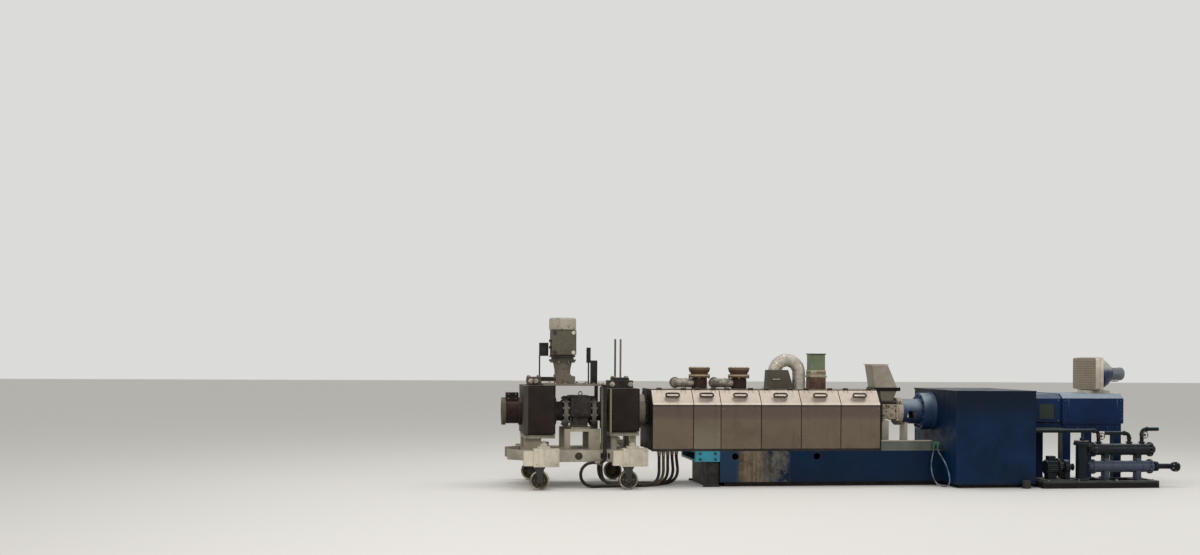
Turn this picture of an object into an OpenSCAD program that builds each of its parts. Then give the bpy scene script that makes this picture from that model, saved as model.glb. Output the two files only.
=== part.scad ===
// Twin-screw plastic extruder with its melt end on a wheeled carriage.
// X runs along the screws from the die to the motor, Y to the back, Z up.
// The origin is on the floor under the screws, about halfway along the machine.

/* [Screw line] */
// Height of the screw centreline above the floor
axis_z = 915; // [890:5:930]
// Left end of the row of barrel covers
cover_x0 = -2390; // [-2440:5:-2360]

/* [Barrel covers] */
// Length of a full cover along the barrel
lid_pitch = 510; // [495:5:530]
// Length of the narrow second cover
lid_narrow = 345; // [320:5:400]
// Width over the front and rear panels
cover_w = 900; // [880:10:1000]
// Width of the flat top deck between the sloping lids
ridge_w = 580; // [560:10:600]
// Height of the edge where the lids meet the front panels
shoulder_z = 1016; // [1000:2:1030]
// Height of the top deck
ridge_z = 1200; // [1190:2:1220]
// Thickness of the stainless sheet
sheet_t = 3; // [2:0.5:4]
// Gap round each moving lid
lid_gap = 6; // [5:0.5:8]
// Length of a lid's pull handle
pull_l = 180; // [140:5:220]

/* [Bed] */
// Height of the recessed plinth under the bed
plinth_h = 57; // [40:1:80]
// Height of the bed's top face above the floor
bed_top = 440; // [420:5:460]
// Plate thickness of the welded bed
bed_plate = 12; // [8:1:20]
// Radius of the round access holes in the bed's side
bed_hole_r = 42; // [25:1:60]

/* [Barrel] */
// Width of a barrel section's body
barrel_w = 270; // [230:5:300]
// Height of a barrel section's body
barrel_h = 200; // [170:5:220]
// Thickness of each section's bolting flange
barrel_flange_t = 32; // [20:1:45]
// Length of the feed section
feed_l = 220; // [200:5:260]

/* [Vents and feed] */
// Offset of the vent ports from the middle of their barrel sections
vent_shift = -55; // [-80:5:-30]
// Radius of a vent port's body
vent_r = 98; // [80:1:110]
// Radius of a vent port's flanges
vent_flange_r = 135; // [125:1:150]
// Height of a vent port's top above the deck
vent_h = 272; // [250:2:300]
// Radius of the wrapped side duct of a vent
vent_duct_r = 56; // [40:1:62]
// Place of the fume hood's middle along the barrel
hood_x = -688; // [-700:2:-680]
// Radius of the fume duct over the hood
fume_r = 80; // [65:1:90]
// Height of the arch of the fume duct, at its centreline
fume_top = 1564; // [1550:2:1600]
// Place of the stuffer's middle along the barrel
stuffer_x = -198; // [-205:1:-180]
// Height of the feed chute's rim
chute_top = 1522; // [1480:2:1560]
// Wall of the chute and the funnel
chute_wall = 4; // [3:0.5:6]

/* [Drive end] */
// Radius of the cream lantern flange
lantern_flange_r = 176; // [172:1:200]
// Radius of the drive lantern
lantern_r = 160; // [150:2:168]
// Radius of the collar on the gearbox
collar_r = 236; // [220:1:250]
// Length of the gearbox housing
housing_l = 1035; // [1000:5:1080]
// Front face of the gearbox housing
housing_y0 = -850; // [-880:5:-820]
// Rear face of the gearbox housing
housing_y1 = 550; // [500:5:600]
// Height of the gearbox housing
housing_top = 1205; // [1190:5:1230]
// Length of the coupling guard
guard_l = 550; // [540:5:580]
// Length of the main motor
motor_l = 830; // [810:5:860]
// Width of the main motor
motor_w = 900; // [860:10:940]
// Underside of the main motor
motor_z0 = 776; // [765:1:790]
// Top of the main motor
motor_z1 = 1157; // [1140:1:1175]

/* [Oil unit] */
// Front edge of the oil unit's skid
skid_y0 = -960; // [-980:5:-940]
// Length of the oil unit's skid
skid_l = 1530; // [1500:5:1560]
// Height of the skid's rails
skid_h = 90; // [80:2:100]
// Radius of an oil cooler's shell
cooler_r = 72; // [60:1:80]
// Radius of the oil pipes
oil_pipe_r = 24; // [18:1:28]

/* [Melt end] */
// Radius of the die head
die_r = 170; // [165:1:185]
// Length of the die head
die_l = 248; // [240:2:270]
// Length of the screen changer's insulated block
changer_l = 384; // [376:2:396]
// Length of the melt pump between its blocks
pump_l = 647; // [640:1:655]
// Length of the starting valve's insulated block
valve_l = 391; // [383:2:400]
// Half the depth of the insulated blocks
block_y = 400; // [380:5:410]
// Radius of the pump motor
pump_motor_r = 168; // [150:2:175]
// Height of the pump motor's top above the floor
pump_motor_top = 2076; // [2050:2:2100]

/* [Carriage] */
// Distance between the carriage's axles
wheelbase = 1074; // [1060:2:1090]
// Half the distance between left and right wheels
track_y = 650; // [640:5:670]
// Radius of a carriage wheel
wheel_r = 117; // [105:1:120]
// Width of a carriage wheel
wheel_w = 60; // [50:1:70]

/* [Hidden] */
$fn = 48;
LID_NODES = [for (i = [1:6]) str("barrel_lid_", i)];
WHEEL_NODES = [for (i = [1:4]) str("carriage_wheel_", i)];
FIXED_NODES = [
    "bed_frame", "bed_plinths", "bed_channel", "bed_end_bracket", "cover_rails",
    "front_panels", "rear_panels", "top_deck", "end_panels",
    "barrel_sections", "barrel_pedestals", "vent_ports", "vent_ducts",
    "fume_hood", "fume_duct", "stuffer_housing", "stuffer_motor",
    "feed_barrel", "feed_funnel", "feed_chute", "drive_lantern",
    "gearbox_housing", "coupling_guard", "main_motor", "motor_frame",
    "blower_box", "blower_fan", "oil_skid", "oil_coolers", "oil_filter", "oil_pump",
    "oil_pipes", "die_head", "screen_changer", "melt_pump", "starting_valve",
    "adapter_ring", "pump_top_plate", "pump_motor", "carriage_frame", "carriage_boxes",
    "melt_supports", "melt_sensors", "clamp_heads", "hose_riser", "supply_hoses", "drain_hose"
];

// Paints, named for what they cover
steel_bright = [0.78, 0.76, 0.72];
steel_dull = [0.47, 0.43, 0.38];
blue_deep = [0.05, 0.14, 0.29];
blue_bright = [0.06, 0.2, 0.42];
cream = [0.78, 0.75, 0.65];
brown_lagging = [0.2, 0.15, 0.13];
iron_dark = [0.13, 0.12, 0.12];
oil_green = [0.09, 0.17, 0.19];
rubber_black = [0.06, 0.06, 0.06];
turquoise = [0.1, 0.5, 0.56];
stuffer_green = [0.35, 0.42, 0.3];
grey_green = [0.42, 0.44, 0.4];

// Cover row, worked out from its left end
function lid_len(i) = i == 1 ? lid_narrow : lid_pitch;
function lid_x(i) = i == 0 ? cover_x0 : lid_x(i - 1) + lid_len(i - 1);
cover_x1 = lid_x(6);
side_y = cover_w / 2;
ridge_y = ridge_w / 2;
slope_a = atan2(ridge_z - shoulder_z, side_y - ridge_y);
slope_l = norm([ridge_z - shoulder_z, side_y - ridge_y]);
// A point on the front slope: s down it from the ridge, out from its outer face
function slope_pt(s, out) = [
    -ridge_y - s * cos(slope_a) - out * sin(slope_a),
    ridge_z - s * sin(slope_a) + out * cos(slope_a)
];
lip_h = 14;
panel_set = 8;
panel_top = shoulder_z - lip_h - lid_gap;
rail_h = 30;
rail_top = bed_top + rail_h;
bearer_w = 60;
end_gap = lid_gap / 2;
end_x0 = cover_x0 - end_gap - sheet_t;
end_x1 = cover_x1 + end_gap + sheet_t;

// Screw line, from the barrel's die end to the motor
barrel_x0 = cover_x0 - 40;
sections = 6;
feed_x0 = cover_x1 + 127;
section_l = (feed_x0 - barrel_x0) / sections;
feed_x1 = feed_x0 + feed_l;
lantern_flange_t = 60;
lantern_x0 = feed_x1 + lantern_flange_t;
lantern_l = 258;
collar_x0 = lantern_x0 + lantern_l;
collar_l = 165;
housing_x0 = collar_x0 + collar_l;
housing_x1 = housing_x0 + housing_l;
motor_x0 = housing_x1 + guard_l;
motor_x1 = motor_x0 + motor_l;
bed_x0 = lid_x(2) - 10;
bed_x1 = housing_x0;
plinth_set = 70;

// Melt end, from the barrel towards the die
ring_l = 114;
valve_x1 = barrel_x0 - ring_l;
valve_x0 = valve_x1 - valve_l;
pump_x0 = valve_x0 - pump_l;
changer_x0 = pump_x0 - changer_l;
die_x0 = changer_x0 - die_l;
block_z0 = axis_z - 265;
block_z1 = axis_z + 325;
valve_z0 = axis_z - 235;
valve_z1 = axis_z + 291;
lagging_r = 16;
top_plate_z = block_z1;
top_plate_t = 18;
plate_x1 = valve_x0 - 28;
pump_motor_x = pump_x0 + 122;

// Carriage, centred under the melt pump
wheel_x = [pump_x0 - 216, pump_x0 - 216 + wheelbase];
box_l = 304;
box_w = 150;
box_z0 = 278;
box_z1 = 494;
beam_z0 = 316;
beam_z1 = 458;
beam_w = 110;
long_y = 340;
fork_t = 14;
axle_r = 15;

// A section in Y and Z, drawn along X
module along_x(x0, l) {
    translate([x0, 0, 0]) rotate([90, 0, 90]) linear_extrude(l) children();
}

// A section in X and Z, drawn along Y
module along_y(y0, w) {
    translate([0, y0 + w, 0]) rotate([90, 0, 0]) linear_extrude(w) children();
}

module box(x0, x1, y0, y1, z0, z1) {
    translate([x0, y0, z0]) cube([x1 - x0, y1 - y0, z1 - z0]);
}

module rod_x(x0, l, y, z, r) {
    translate([x0, y, z]) rotate([0, 90, 0]) cylinder(h = l, r = r);
}

module rod_y(x, y0, l, z, r) {
    translate([x, y0, z]) rotate([-90, 0, 0]) cylinder(h = l, r = r);
}

module rod_z(x, y, z0, l, r) {
    translate([x, y, z0]) cylinder(h = l, r = r);
}

// Both mirror images of what is drawn at the front
module both_sides() {
    children();
    mirror([0, 1, 0]) children();
}

// Outline of a slot with round ends, centred on the origin
function slot_points(l, w, steps = 8) = [
    for (side = [1, -1], k = [0:steps])
        let (a = side * 90 - 180 * k / steps)
        [side * (l - w) / 2 + cos(a) * w / 2, sin(a) * w / 2]
];

// Outline of a rectangle with round corners
function round_rect(x0, x1, y0, y1, r, steps = 4) = [
    for (c = [[x1 - r, y1 - r, 0], [x0 + r, y1 - r, 90], [x0 + r, y0 + r, 180], [x1 - r, y0 + r, 270]],
         k = [0:steps])
        let (a = c[2] + 90 * k / steps)
        [c[0] + r * cos(a), c[1] + r * sin(a)]
];

// Outline of a ribbed drum: thin fins between two radii
function fin_points(inner, outer, fins) = [
    for (k = [0:fins - 1], p = [[inner, -0.3], [outer, -0.18], [outer, 0.18], [inner, 0.3]])
        let (a = 360 * (k + p[1]) / fins)
        [p[0] * cos(a), p[0] * sin(a)]
];

// Rectangular duct that changes size between two levels
module tapered_box(low, high) {
    hull() {
        box(low[0], low[1], low[2], low[3], low[4], low[4] + 0.01);
        box(high[0], high[1], high[2], high[3], high[4] - 0.01, high[4]);
    }
}

// Bed

module bed_frame() color(blue_deep) {
    difference() {
        box(bed_x0, bed_x1, -side_y, side_y, plinth_h, bed_top);
        box(bed_x0 + bed_plate, bed_x1 - bed_plate, -side_y + bed_plate, side_y - bed_plate,
            plinth_h + bed_plate, bed_top - bed_plate);
        for (x = [bed_x0 + 190, bed_x0 + 1230])
            rod_y(x, -side_y - 1, cover_w + 2, bed_top - 68, bed_hole_r);
    }
}

// Dark recessed plinths under the bed and the gearbox, and the leg under the free end
module bed_plinths() color(iron_dark) {
    box(bed_x0 + plinth_set, bed_x1 - plinth_set, -side_y + plinth_set, side_y - plinth_set,
        0, plinth_h);
    box(housing_x0 + plinth_set, housing_x1 - plinth_set,
        housing_y0 + plinth_set, housing_y1 - plinth_set, 0, plinth_h - 10);
    box(bed_x0 - 170, bed_x0 - 10, -side_y + 30, side_y - 30, 0, bracket_z0);
    both_sides() box(bed_x0 - 210, bed_x0 - 10, -side_y, -side_y + 30, 0, 25);
}

bracket_z0 = 310;
bracket_l = 310;

// Turquoise bracket that carries the covers past the end of the bed
module bed_end_bracket() color(turquoise) {
    difference() {
        box(bed_x0 - bracket_l, bed_x0, -side_y + 5, side_y - 5, bracket_z0, bed_top);
        box(bed_x0 - bracket_l - 1, bed_x0 - 30, -side_y + 65, side_y - 65,
            bracket_z0 + 25, bed_top - 20);
    }
}

channel_h = 127;
channel_x0 = cover_x1 + 12;
channel_x1 = housing_x0 - 160;
drain_y = -side_y - 24;
drain_z = bed_top + 78;

// Drip channel beside the feed section, with a turned lip and a fitting for the drain hose
module bed_channel() color(grey_green) {
    difference() {
        box(channel_x0, channel_x1, -side_y, -side_y + 90, bed_top, bed_top + channel_h);
        box(channel_x0 + 8, channel_x1 - 8, -side_y + 8, -side_y + 82,
            bed_top + 8, bed_top + channel_h + 1);
    }
    box(channel_x0, channel_x1, -side_y - 12, -side_y, bed_top + channel_h - 8, bed_top + channel_h);
    box(channel_x1, channel_x1 + 30, drain_y, -side_y + 24, drain_z, drain_z + 34);
    box(channel_x1, channel_x1 + 90, drain_y - 16, drain_y + 16, drain_z, drain_z + 34);
}

// Covers

// Rails that carry the panels over the whole row, and the cross bearers past the bed
module cover_rails() color(iron_dark) {
    both_sides()
        box(end_x0, end_x1, -side_y + panel_set, -side_y + 60, bed_top, rail_top);
    for (x = [cover_x0 + 10, lid_x(1) + 20])
        box(x, x + bearer_w, -side_y + 60, side_y - 60, bed_top, rail_top);
    // Manifold where the supply hoses leave the cover row
    box(cover_x0 + 10 + bearer_w, lid_x(1) + 20, -385, -60, bed_top, rail_top);
}

// Front panels stand under the lids, the fourth as wide as two lids
module panel_row(y) {
    for (span = [[0, 1], [1, 2], [2, 3], [3, 5], [5, 6]])
        box(lid_x(span[0]) + lid_gap / 2, lid_x(span[1]) - lid_gap / 2, y, y + sheet_t,
            rail_top, panel_top);
}

module front_panels() color(steel_dull) {
    panel_row(-side_y + panel_set);
    // Returns that stiffen each panel's long edges and stand on the rail
    for (span = [[0, 1], [1, 2], [2, 3], [3, 5], [5, 6]])
        for (x = [lid_x(span[0]) + lid_gap / 2, lid_x(span[1]) - lid_gap / 2 - sheet_t])
            box(x, x + sheet_t, -side_y + panel_set + sheet_t, -side_y + panel_set + 28,
                rail_top, panel_top);
}

// Rear panels with the same fold as the lids, in one sheet each
module rear_panels() color(steel_dull) {
    for (span = [[0, 2], [2, 4], [4, 6]])
        along_x(lid_x(span[0]) + lid_gap / 2,
                lid_x(span[1]) - lid_x(span[0]) - lid_gap)
            mirror([1, 0]) polygon([
                slope_pt(0, 0), slope_pt(slope_l, 0), [-side_y + panel_set, rail_top],
                [-side_y + panel_set + sheet_t, rail_top],
                slope_pt(slope_l, 0) + [sheet_t, -sheet_t / 3],
                [-ridge_y, ridge_z - sheet_t / cos(slope_a)]
            ]);
}

hinge_pin_r = 4;
hinge_bore_r = hinge_pin_r + 0.1;
knuckle_r = 9;
knuckle_l = 44;
hinge_y = -ridge_y;
hinge_z = ridge_z + knuckle_r + 1;
function hinge_xs(i) = [lid_x(i) + 0.2 * lid_len(i), lid_x(i) + 0.8 * lid_len(i)];
side_unit_w = 190;
hood_w = 340;
hood_d = 300;
stuffer_d = 230;

// Top deck between the lids, with the hinge knuckles and the cut-outs of what stands on the barrel
module top_deck() color(steel_dull) {
    difference() {
        union() {
            box(cover_x0 - end_gap, cover_x1 + end_gap, -ridge_y + lid_gap, ridge_y,
                ridge_z - sheet_t, ridge_z);
            for (i = [0:5], x = hinge_xs(i)) {
                rod_x(x - knuckle_l / 2, knuckle_l, hinge_y, hinge_z, knuckle_r);
                box(x - knuckle_l / 2, x + knuckle_l / 2, hinge_y, hinge_y + 40,
                    ridge_z, hinge_z - hinge_bore_r - 1);
            }
        }
        for (i = [0:5], x = hinge_xs(i))
            rod_x(x - knuckle_l / 2 - 1, knuckle_l + 2, hinge_y, hinge_z, hinge_bore_r);
        for (x = [vent_1_x, vent_2_x])
            rod_z(x, 0, ridge_z - 20, 40, vent_r + 5);
        box(hood_x - hood_w / 2 + 40, hood_x + hood_w / 2 - 40, -hood_d / 2 + 30, hood_d / 2 - 30,
            ridge_z - 20, ridge_z + 20);
        box(stuffer_x - side_unit_w / 2 - 5, stuffer_x + side_unit_w / 2 + 5,
            -stuffer_d / 2 - 5, stuffer_d / 2 + 5, ridge_z - 20, ridge_z + 20);
    }
}

// Closed ends of the cover row, cut out round the barrel
module end_sheet(x0) {
    along_x(x0, sheet_t) difference() {
        polygon([
            [-side_y + panel_set, rail_top], [-side_y + panel_set, shoulder_z - panel_set],
            slope_pt(0, -sheet_t), [-ridge_y + lid_gap, ridge_z],
            [ridge_y, ridge_z], [side_y - panel_set, shoulder_z - panel_set],
            [side_y - panel_set, rail_top]
        ]);
        translate([-barrel_w / 2 - 40, axis_z - barrel_h / 2 - 40])
            square([barrel_w + 80, barrel_h + 80]);
    }
}

module end_panels() color(steel_bright) {
    end_sheet(end_x0);
    end_sheet(end_x1 - sheet_t);
}

lid_s0 = 16;

// One sloping lid: folded sheet with end returns, hinge lugs with their pin, and a ring pull
module lid(i) {
    x0 = lid_x(i) + lid_gap / 2;
    l = lid_len(i) - lid_gap;
    color(steel_bright) {
        along_x(x0, l) polygon([
            slope_pt(lid_s0, 0), slope_pt(slope_l, 0), [-side_y, shoulder_z - lip_h],
            [-side_y + sheet_t, shoulder_z - lip_h],
            slope_pt(slope_l, -sheet_t) + [sheet_t / 3, 0], slope_pt(lid_s0, -sheet_t)
        ]);
        for (x = [x0, x0 + l - sheet_t])
            along_x(x, sheet_t) polygon([
                slope_pt(lid_s0, 0), slope_pt(slope_l - 12, 0),
                slope_pt(slope_l - 12, -22), slope_pt(lid_s0, -22)
            ]);
        for (x = hinge_xs(i)) hinge_lugs(x);
    }
    color(iron_dark) lid_pull(x0 + l / 2);
}

lug_t = 8;
lug_r = 8.5;
// The hinge pin's place along the slope and out from it
hinge_s = (hinge_y + ridge_y) * -cos(slope_a) - (hinge_z - ridge_z) * sin(slope_a);
hinge_out = (hinge_y + ridge_y) * -sin(slope_a) + (hinge_z - ridge_z) * cos(slope_a);

// The lid's two lugs beside a knuckle, round eyes on tails, and the pin through them
module hinge_lugs(x) {
    for (side = [-1, 1])
        translate([side > 0 ? knuckle_l / 2 + 1 : -knuckle_l / 2 - 1 - lug_t, 0, 0]) {
            rod_x(x, lug_t, hinge_y, hinge_z, lug_r);
            along_x(x, lug_t) polygon([
                slope_pt(hinge_s, hinge_out + lug_r), slope_pt(hinge_s, hinge_out - lug_r),
                slope_pt(lid_s0, -sheet_t), slope_pt(62, -sheet_t), slope_pt(62, 2)
            ]);
        }
    rod_x(x - knuckle_l / 2 - 1 - lug_t / 2, knuckle_l + 2 + lug_t, hinge_y, hinge_z, hinge_pin_r);
}

pull_w = 58;
pull_out = 30;

// Flat ring pull on two stand-offs, parallel to the slope
module lid_pull(x) {
    mid = slope_pt(slope_l / 2, 0);
    translate([x, mid[0], mid[1]]) rotate([slope_a, 0, 0]) {
        translate([0, 0, pull_out]) linear_extrude(10) difference() {
            polygon(slot_points(pull_l, pull_w));
            polygon(slot_points(pull_l - 28, pull_w - 28));
        }
        for (side = [-1, 1])
            translate([side * (pull_l / 2 - 7), 0, -sheet_t / 2])
                cylinder(h = pull_out + sheet_t, r = 6);
    }
}

// Barrel

// One bolted section: a block with cooling bosses between two flanges
module barrel_section(x0) {
    box(x0, x0 + section_l, -barrel_w / 2, barrel_w / 2, axis_z - barrel_h / 2, axis_z + barrel_h / 2);
    for (x = [x0, x0 + section_l - barrel_flange_t])
        box(x, x + barrel_flange_t, -barrel_w / 2 - 35, barrel_w / 2 + 35,
            axis_z - barrel_h / 2 - 35, axis_z + barrel_h / 2 + 35);
    // Cooling shell round the sides and the bottom, with its pipe stubs
    for (part = [0, 1]) {
        l = (section_l - 2 * barrel_flange_t - 3 * shell_gap) / 2;
        x = x0 + barrel_flange_t + shell_gap + part * (l + shell_gap);
        box(x, x + l, -barrel_w / 2 - shell_t, barrel_w / 2 + shell_t,
            axis_z - barrel_h / 2 - shell_t, barrel_top - 20);
        both_sides() for (dx = [0.25, 0.75])
            rod_y(x + dx * l, -barrel_w / 2 - shell_t - 22, 24, axis_z - 60, stub_r);
    }
}

shell_t = 18;
shell_gap = 26;
stub_r = 11;

module barrel_sections() color(iron_dark) {
    for (k = [0:sections - 1]) barrel_section(barrel_x0 + k * section_l);
}

pedestal_w = 90;

// Upright on a foot plate, up to the underside of a flange
module pedestal(x, top) {
    box(x - pedestal_w / 2, x + pedestal_w / 2, -150, 150, bed_top, top);
    box(x - pedestal_w / 2 - 40, x + pedestal_w / 2 + 40, -190, 190, bed_top, bed_top + 25);
}

// Pedestals that stand on the bed and carry every third flange pair
module barrel_pedestals() color(cream) {
    for (k = [2, 4]) pedestal(barrel_x0 + k * section_l, axis_z - barrel_h / 2 - 35);
    pedestal(feed_x0 + pedestal_w / 2, axis_z - feed_half - 20);
}

// Vents and feed

barrel_top = axis_z + barrel_h / 2;
vent_1_x = barrel_x0 + 1.5 * section_l + vent_shift;
vent_2_x = barrel_x0 + 2.5 * section_l + vent_shift;

// Vent port: one turned shape, a body off the barrel with two wide flanges under a flared lid
module vent_port(x) {
    top = ridge_z + vent_h - barrel_top;
    translate([x, 0, barrel_top]) rotate_extrude() polygon([
        [0, 0], [vent_r, 0], [vent_r, top - 140], [vent_r + 10, top - 130],
        [vent_flange_r, top - 130], [vent_flange_r, top - 96], [vent_flange_r - 6, top - 90],
        [vent_r + 12, top - 90], [vent_r + 12, top - 72], [vent_flange_r - 12, top - 64],
        [vent_flange_r, top - 26], [vent_flange_r, top - 8], [vent_flange_r - 8, top], [0, top]
    ]);
}

module vent_ports() color(brown_lagging) {
    vent_port(vent_1_x);
    vent_port(vent_2_x);
}

duct_bend = 95;
duct_z = ridge_z + vent_duct_r + 16;

// Wrapped side duct: straight out of the port to the left, then an elbow to the back with a flange
module vent_duct(x) {
    run = 70;
    x_in = x - vent_r;
    band = 14;
    difference() {
        rod_x(x_in - run, run + vent_r / 2, 0, duct_z, vent_duct_r);
        rod_z(x, 0, ridge_z, 400, vent_r + 0.3);
    }
    rod_x(x_in - run - band, band, 0, duct_z, vent_duct_r + 5);
    translate([x_in - run - band, duct_bend, duct_z]) rotate([0, 0, 180])
        rotate_extrude(angle = 90) translate([duct_bend, 0]) circle(r = vent_duct_r);
    rod_y(x_in - run - band - duct_bend, duct_bend, 90, duct_z, vent_duct_r);
    rod_y(x_in - run - band - duct_bend, duct_bend + 90, 16, duct_z, vent_duct_r + 14);
}

module vent_ducts() color(steel_bright) {
    vent_duct(vent_1_x);
    vent_duct(vent_2_x);
}

hood_h = 240;
hood_top = ridge_z + hood_h;

// Fume hood: a tapered box on the deck with a foot flange
module fume_hood() color(grey_green) {
    box(hood_x - hood_w / 2, hood_x + hood_w / 2, -hood_d / 2, hood_d / 2, ridge_z, ridge_z + 12);
    tapered_box(
        [hood_x - hood_w / 2 + 12, hood_x + hood_w / 2 - 12, -hood_d / 2 + 12, hood_d / 2 - 12,
         ridge_z + 12],
        [hood_x - hood_w / 2 + 20, hood_x + hood_w / 2 - 75, -hood_d / 2 + 40, hood_d / 2 - 40,
         hood_top]);
}

fume_bend = 160;
fume_mid_x = hood_x + 102;

// Lagged fume duct: up out of the hood, over in a half circle and down to the deck
module fume_duct() color(steel_bright) {
    arch_z = fume_top - fume_bend;
    band = 14;
    right = fume_mid_x + fume_bend;
    rod_z(right, 0, ridge_z, arch_z - band - ridge_z, fume_r);
    rod_z(right, 0, ridge_z, band, fume_r + 8);
    rod_z(right, 0, arch_z - band, band, fume_r + 4);
    difference() {
        translate([fume_mid_x, 0, arch_z]) rotate([90, 0, 0])
            rotate_extrude(angle = 180) translate([fume_bend, 0]) circle(r = fume_r);
        box(hood_x - hood_w, fume_mid_x, -hood_d, hood_d, ridge_z, hood_top);
    }
}

// Stuffer: a brown housing on the barrel under a cream flange
module stuffer_housing() color(brown_lagging) {
    box(stuffer_x - side_unit_w / 2, stuffer_x + side_unit_w / 2, -stuffer_d / 2, stuffer_d / 2,
        barrel_top, ridge_z + 150);
    box(stuffer_x - side_unit_w / 2 - 12, stuffer_x + side_unit_w / 2 + 12,
        -stuffer_d / 2 - 12, stuffer_d / 2 + 12, ridge_z + 150, ridge_z + 170);
}

// Its vertical gear motor: a cream gear block and a green motor with a cap
module stuffer_motor() color(stuffer_green) {
    z = ridge_z + 170;
    box(stuffer_x - 100, stuffer_x + 100, -100, 100, z, z + 72);
    box(stuffer_x - 92, stuffer_x + 92, -92, 92, z + 72, z + 270);
    box(stuffer_x - 104, stuffer_x + 104, -104, 104, z + 270, z + 282);
}

feed_half = 96;

// Feed section of the barrel, a square block with a throat in its top
module feed_barrel() color(cream) {
    difference() {
        union() {
            box(feed_x0, feed_x1, -feed_half - 40, feed_half + 40,
                axis_z - feed_half, axis_z + feed_half);
            for (x = [feed_x0, feed_x1 - barrel_flange_t])
                box(x, x + barrel_flange_t, -feed_half - 60, feed_half + 60,
                    axis_z - feed_half - 20, axis_z + feed_half);
        }
        box(feed_x0 + 42, feed_x0 + 152, -70, 70, axis_z + 20, axis_z + feed_half + 1);
    }
    rod_x(feed_x1, lantern_flange_t, 0, axis_z, lantern_flange_r);
}

throat_flange_t = 26;
funnel_flange_t = 44;
funnel_z0 = axis_z + feed_half;
funnel_z1 = funnel_z0 + 167;
funnel_mid = feed_x0 + 98;

// Lower funnel between its two black flanges, open through
module feed_funnel() color(steel_dull) {
    low = funnel_z0 + throat_flange_t;
    difference() {
        union() {
            box(funnel_mid - 96, funnel_mid + 96, -110, 110, funnel_z0, low);
            tapered_box([funnel_mid - 84, funnel_mid + 60, -80, 80, low],
                        [funnel_mid - 118, funnel_mid + 104, -120, 120, funnel_z1]);
            box(funnel_mid - 200, funnel_mid + 143, -150, 150, funnel_z1, chute_z0);
        }
        tapered_box([funnel_mid - 80 + chute_wall, funnel_mid + 56 - chute_wall,
                     -76 + chute_wall, 76 - chute_wall, funnel_z0 - 1],
                    [funnel_mid - 118 + chute_wall, funnel_mid + 104 - chute_wall,
                     -120 + chute_wall, 120 - chute_wall, chute_z0 + 1]);
    }
}

chute_z0 = funnel_z1 + funnel_flange_t;
chute_y = 135;
chute_low = [funnel_mid - 188, funnel_mid + 104];
chute_high = [funnel_mid - 236, funnel_mid - 26];

// Slanting chute with a turned rim, open through
module feed_chute() color(steel_bright) {
    difference() {
        union() {
            along_y(-chute_y, 2 * chute_y) polygon([
                [chute_low[0], chute_z0], [chute_low[1], chute_z0],
                [chute_high[1], chute_top], [chute_high[0], chute_top]
            ]);
            box(chute_high[0] - 14, chute_high[1] + 14, -chute_y - 14, chute_y + 14,
                chute_top - 8, chute_top);
        }
        along_y(-chute_y + chute_wall, 2 * (chute_y - chute_wall)) polygon([
            [chute_low[0] + chute_wall, chute_z0 - 1], [chute_low[1] - chute_wall, chute_z0 - 1],
            [chute_high[1] - chute_wall, chute_top + 1], [chute_high[0] + chute_wall, chute_top + 1]
        ]);
    }
}

// Drive end

// Blue lantern with a window on each side, and its bolting collar on the gearbox
module drive_lantern() color(blue_bright) {
    difference() {
        rod_x(lantern_x0, lantern_l, 0, axis_z, lantern_r);
        rod_x(lantern_x0 - 1, lantern_l - 40, 0, axis_z, lantern_r - 24);
        box(lantern_x0 + 60, lantern_x0 + 180, -lantern_r - 5, lantern_r + 5, axis_z - 85, axis_z + 10);
    }
    rod_x(collar_x0, collar_l, 0, axis_z, collar_r);
    rod_x(collar_x0 + collar_l - 24, 24, 0, axis_z, collar_r + 12);
    // Narrow foot under its free end, down to the bed
    box(lantern_x0 + 42, lantern_x0 + 82, -90, 90, bed_top, axis_z - lantern_r + 30);
    box(lantern_x0 + 22, lantern_x0 + 102, -120, 120, bed_top, bed_top + 20);
}

// Gearbox housing with its overhanging lid
module gearbox_housing() color(blue_deep) {
    box(housing_x0, housing_x1, housing_y0, housing_y1, plinth_h - 10, housing_top - 14);
    box(housing_x0 - 12, housing_x1 + 4, housing_y0 - 6, housing_y1 + 6, housing_top - 14, housing_top);
    // Jacking feet at the motor end, on short brackets
    for (foot = [[housing_y0 - foot_r, housing_y0], [housing_y1, housing_y1 + foot_r]]) {
        y = foot[0] < 0 ? foot[0] : foot[1];
        box(foot_x - 40, foot_x + 40, foot[0], foot[1], plinth_h + 3, plinth_h + 27);
        rod_z(foot_x, y, 0, 95, foot_r - 4);
    }
}

foot_x = housing_x1 - 145;
foot_r = 54;

guard_panel_x = housing_x1 + 256;

// Guard over the coupling between gearbox and motor, with a set-in panel on each side
module coupling_guard() color(blue_deep) {
    difference() {
        along_x(housing_x1 + 4, guard_l - 4) polygon([
            [-420, motor_z0 + 20], [-420, motor_z1 - 60], [-350, motor_z1 - 8],
            [350, motor_z1 - 8], [420, motor_z1 - 60], [420, motor_z0 + 20]
        ]);
        both_sides() box(guard_panel_x, guard_panel_x + 203, -421, -412, motor_z0 + 64, motor_z1 - 127);
    }
}

// Square-framed main motor with chamfered top edges and end shields
module main_motor() color(blue_bright) {
    h = motor_w / 2;
    along_x(motor_x0, motor_l) polygon([
        [-h, motor_z0], [-h, motor_z1 - 57], [-h + 80, motor_z1],
        [h - 80, motor_z1], [h, motor_z1 - 57], [h, motor_z0]
    ]);
    rod_x(motor_x1, 60, 0, (motor_z0 + motor_z1) / 2, 150);
}

leg_w = 100;

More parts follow.
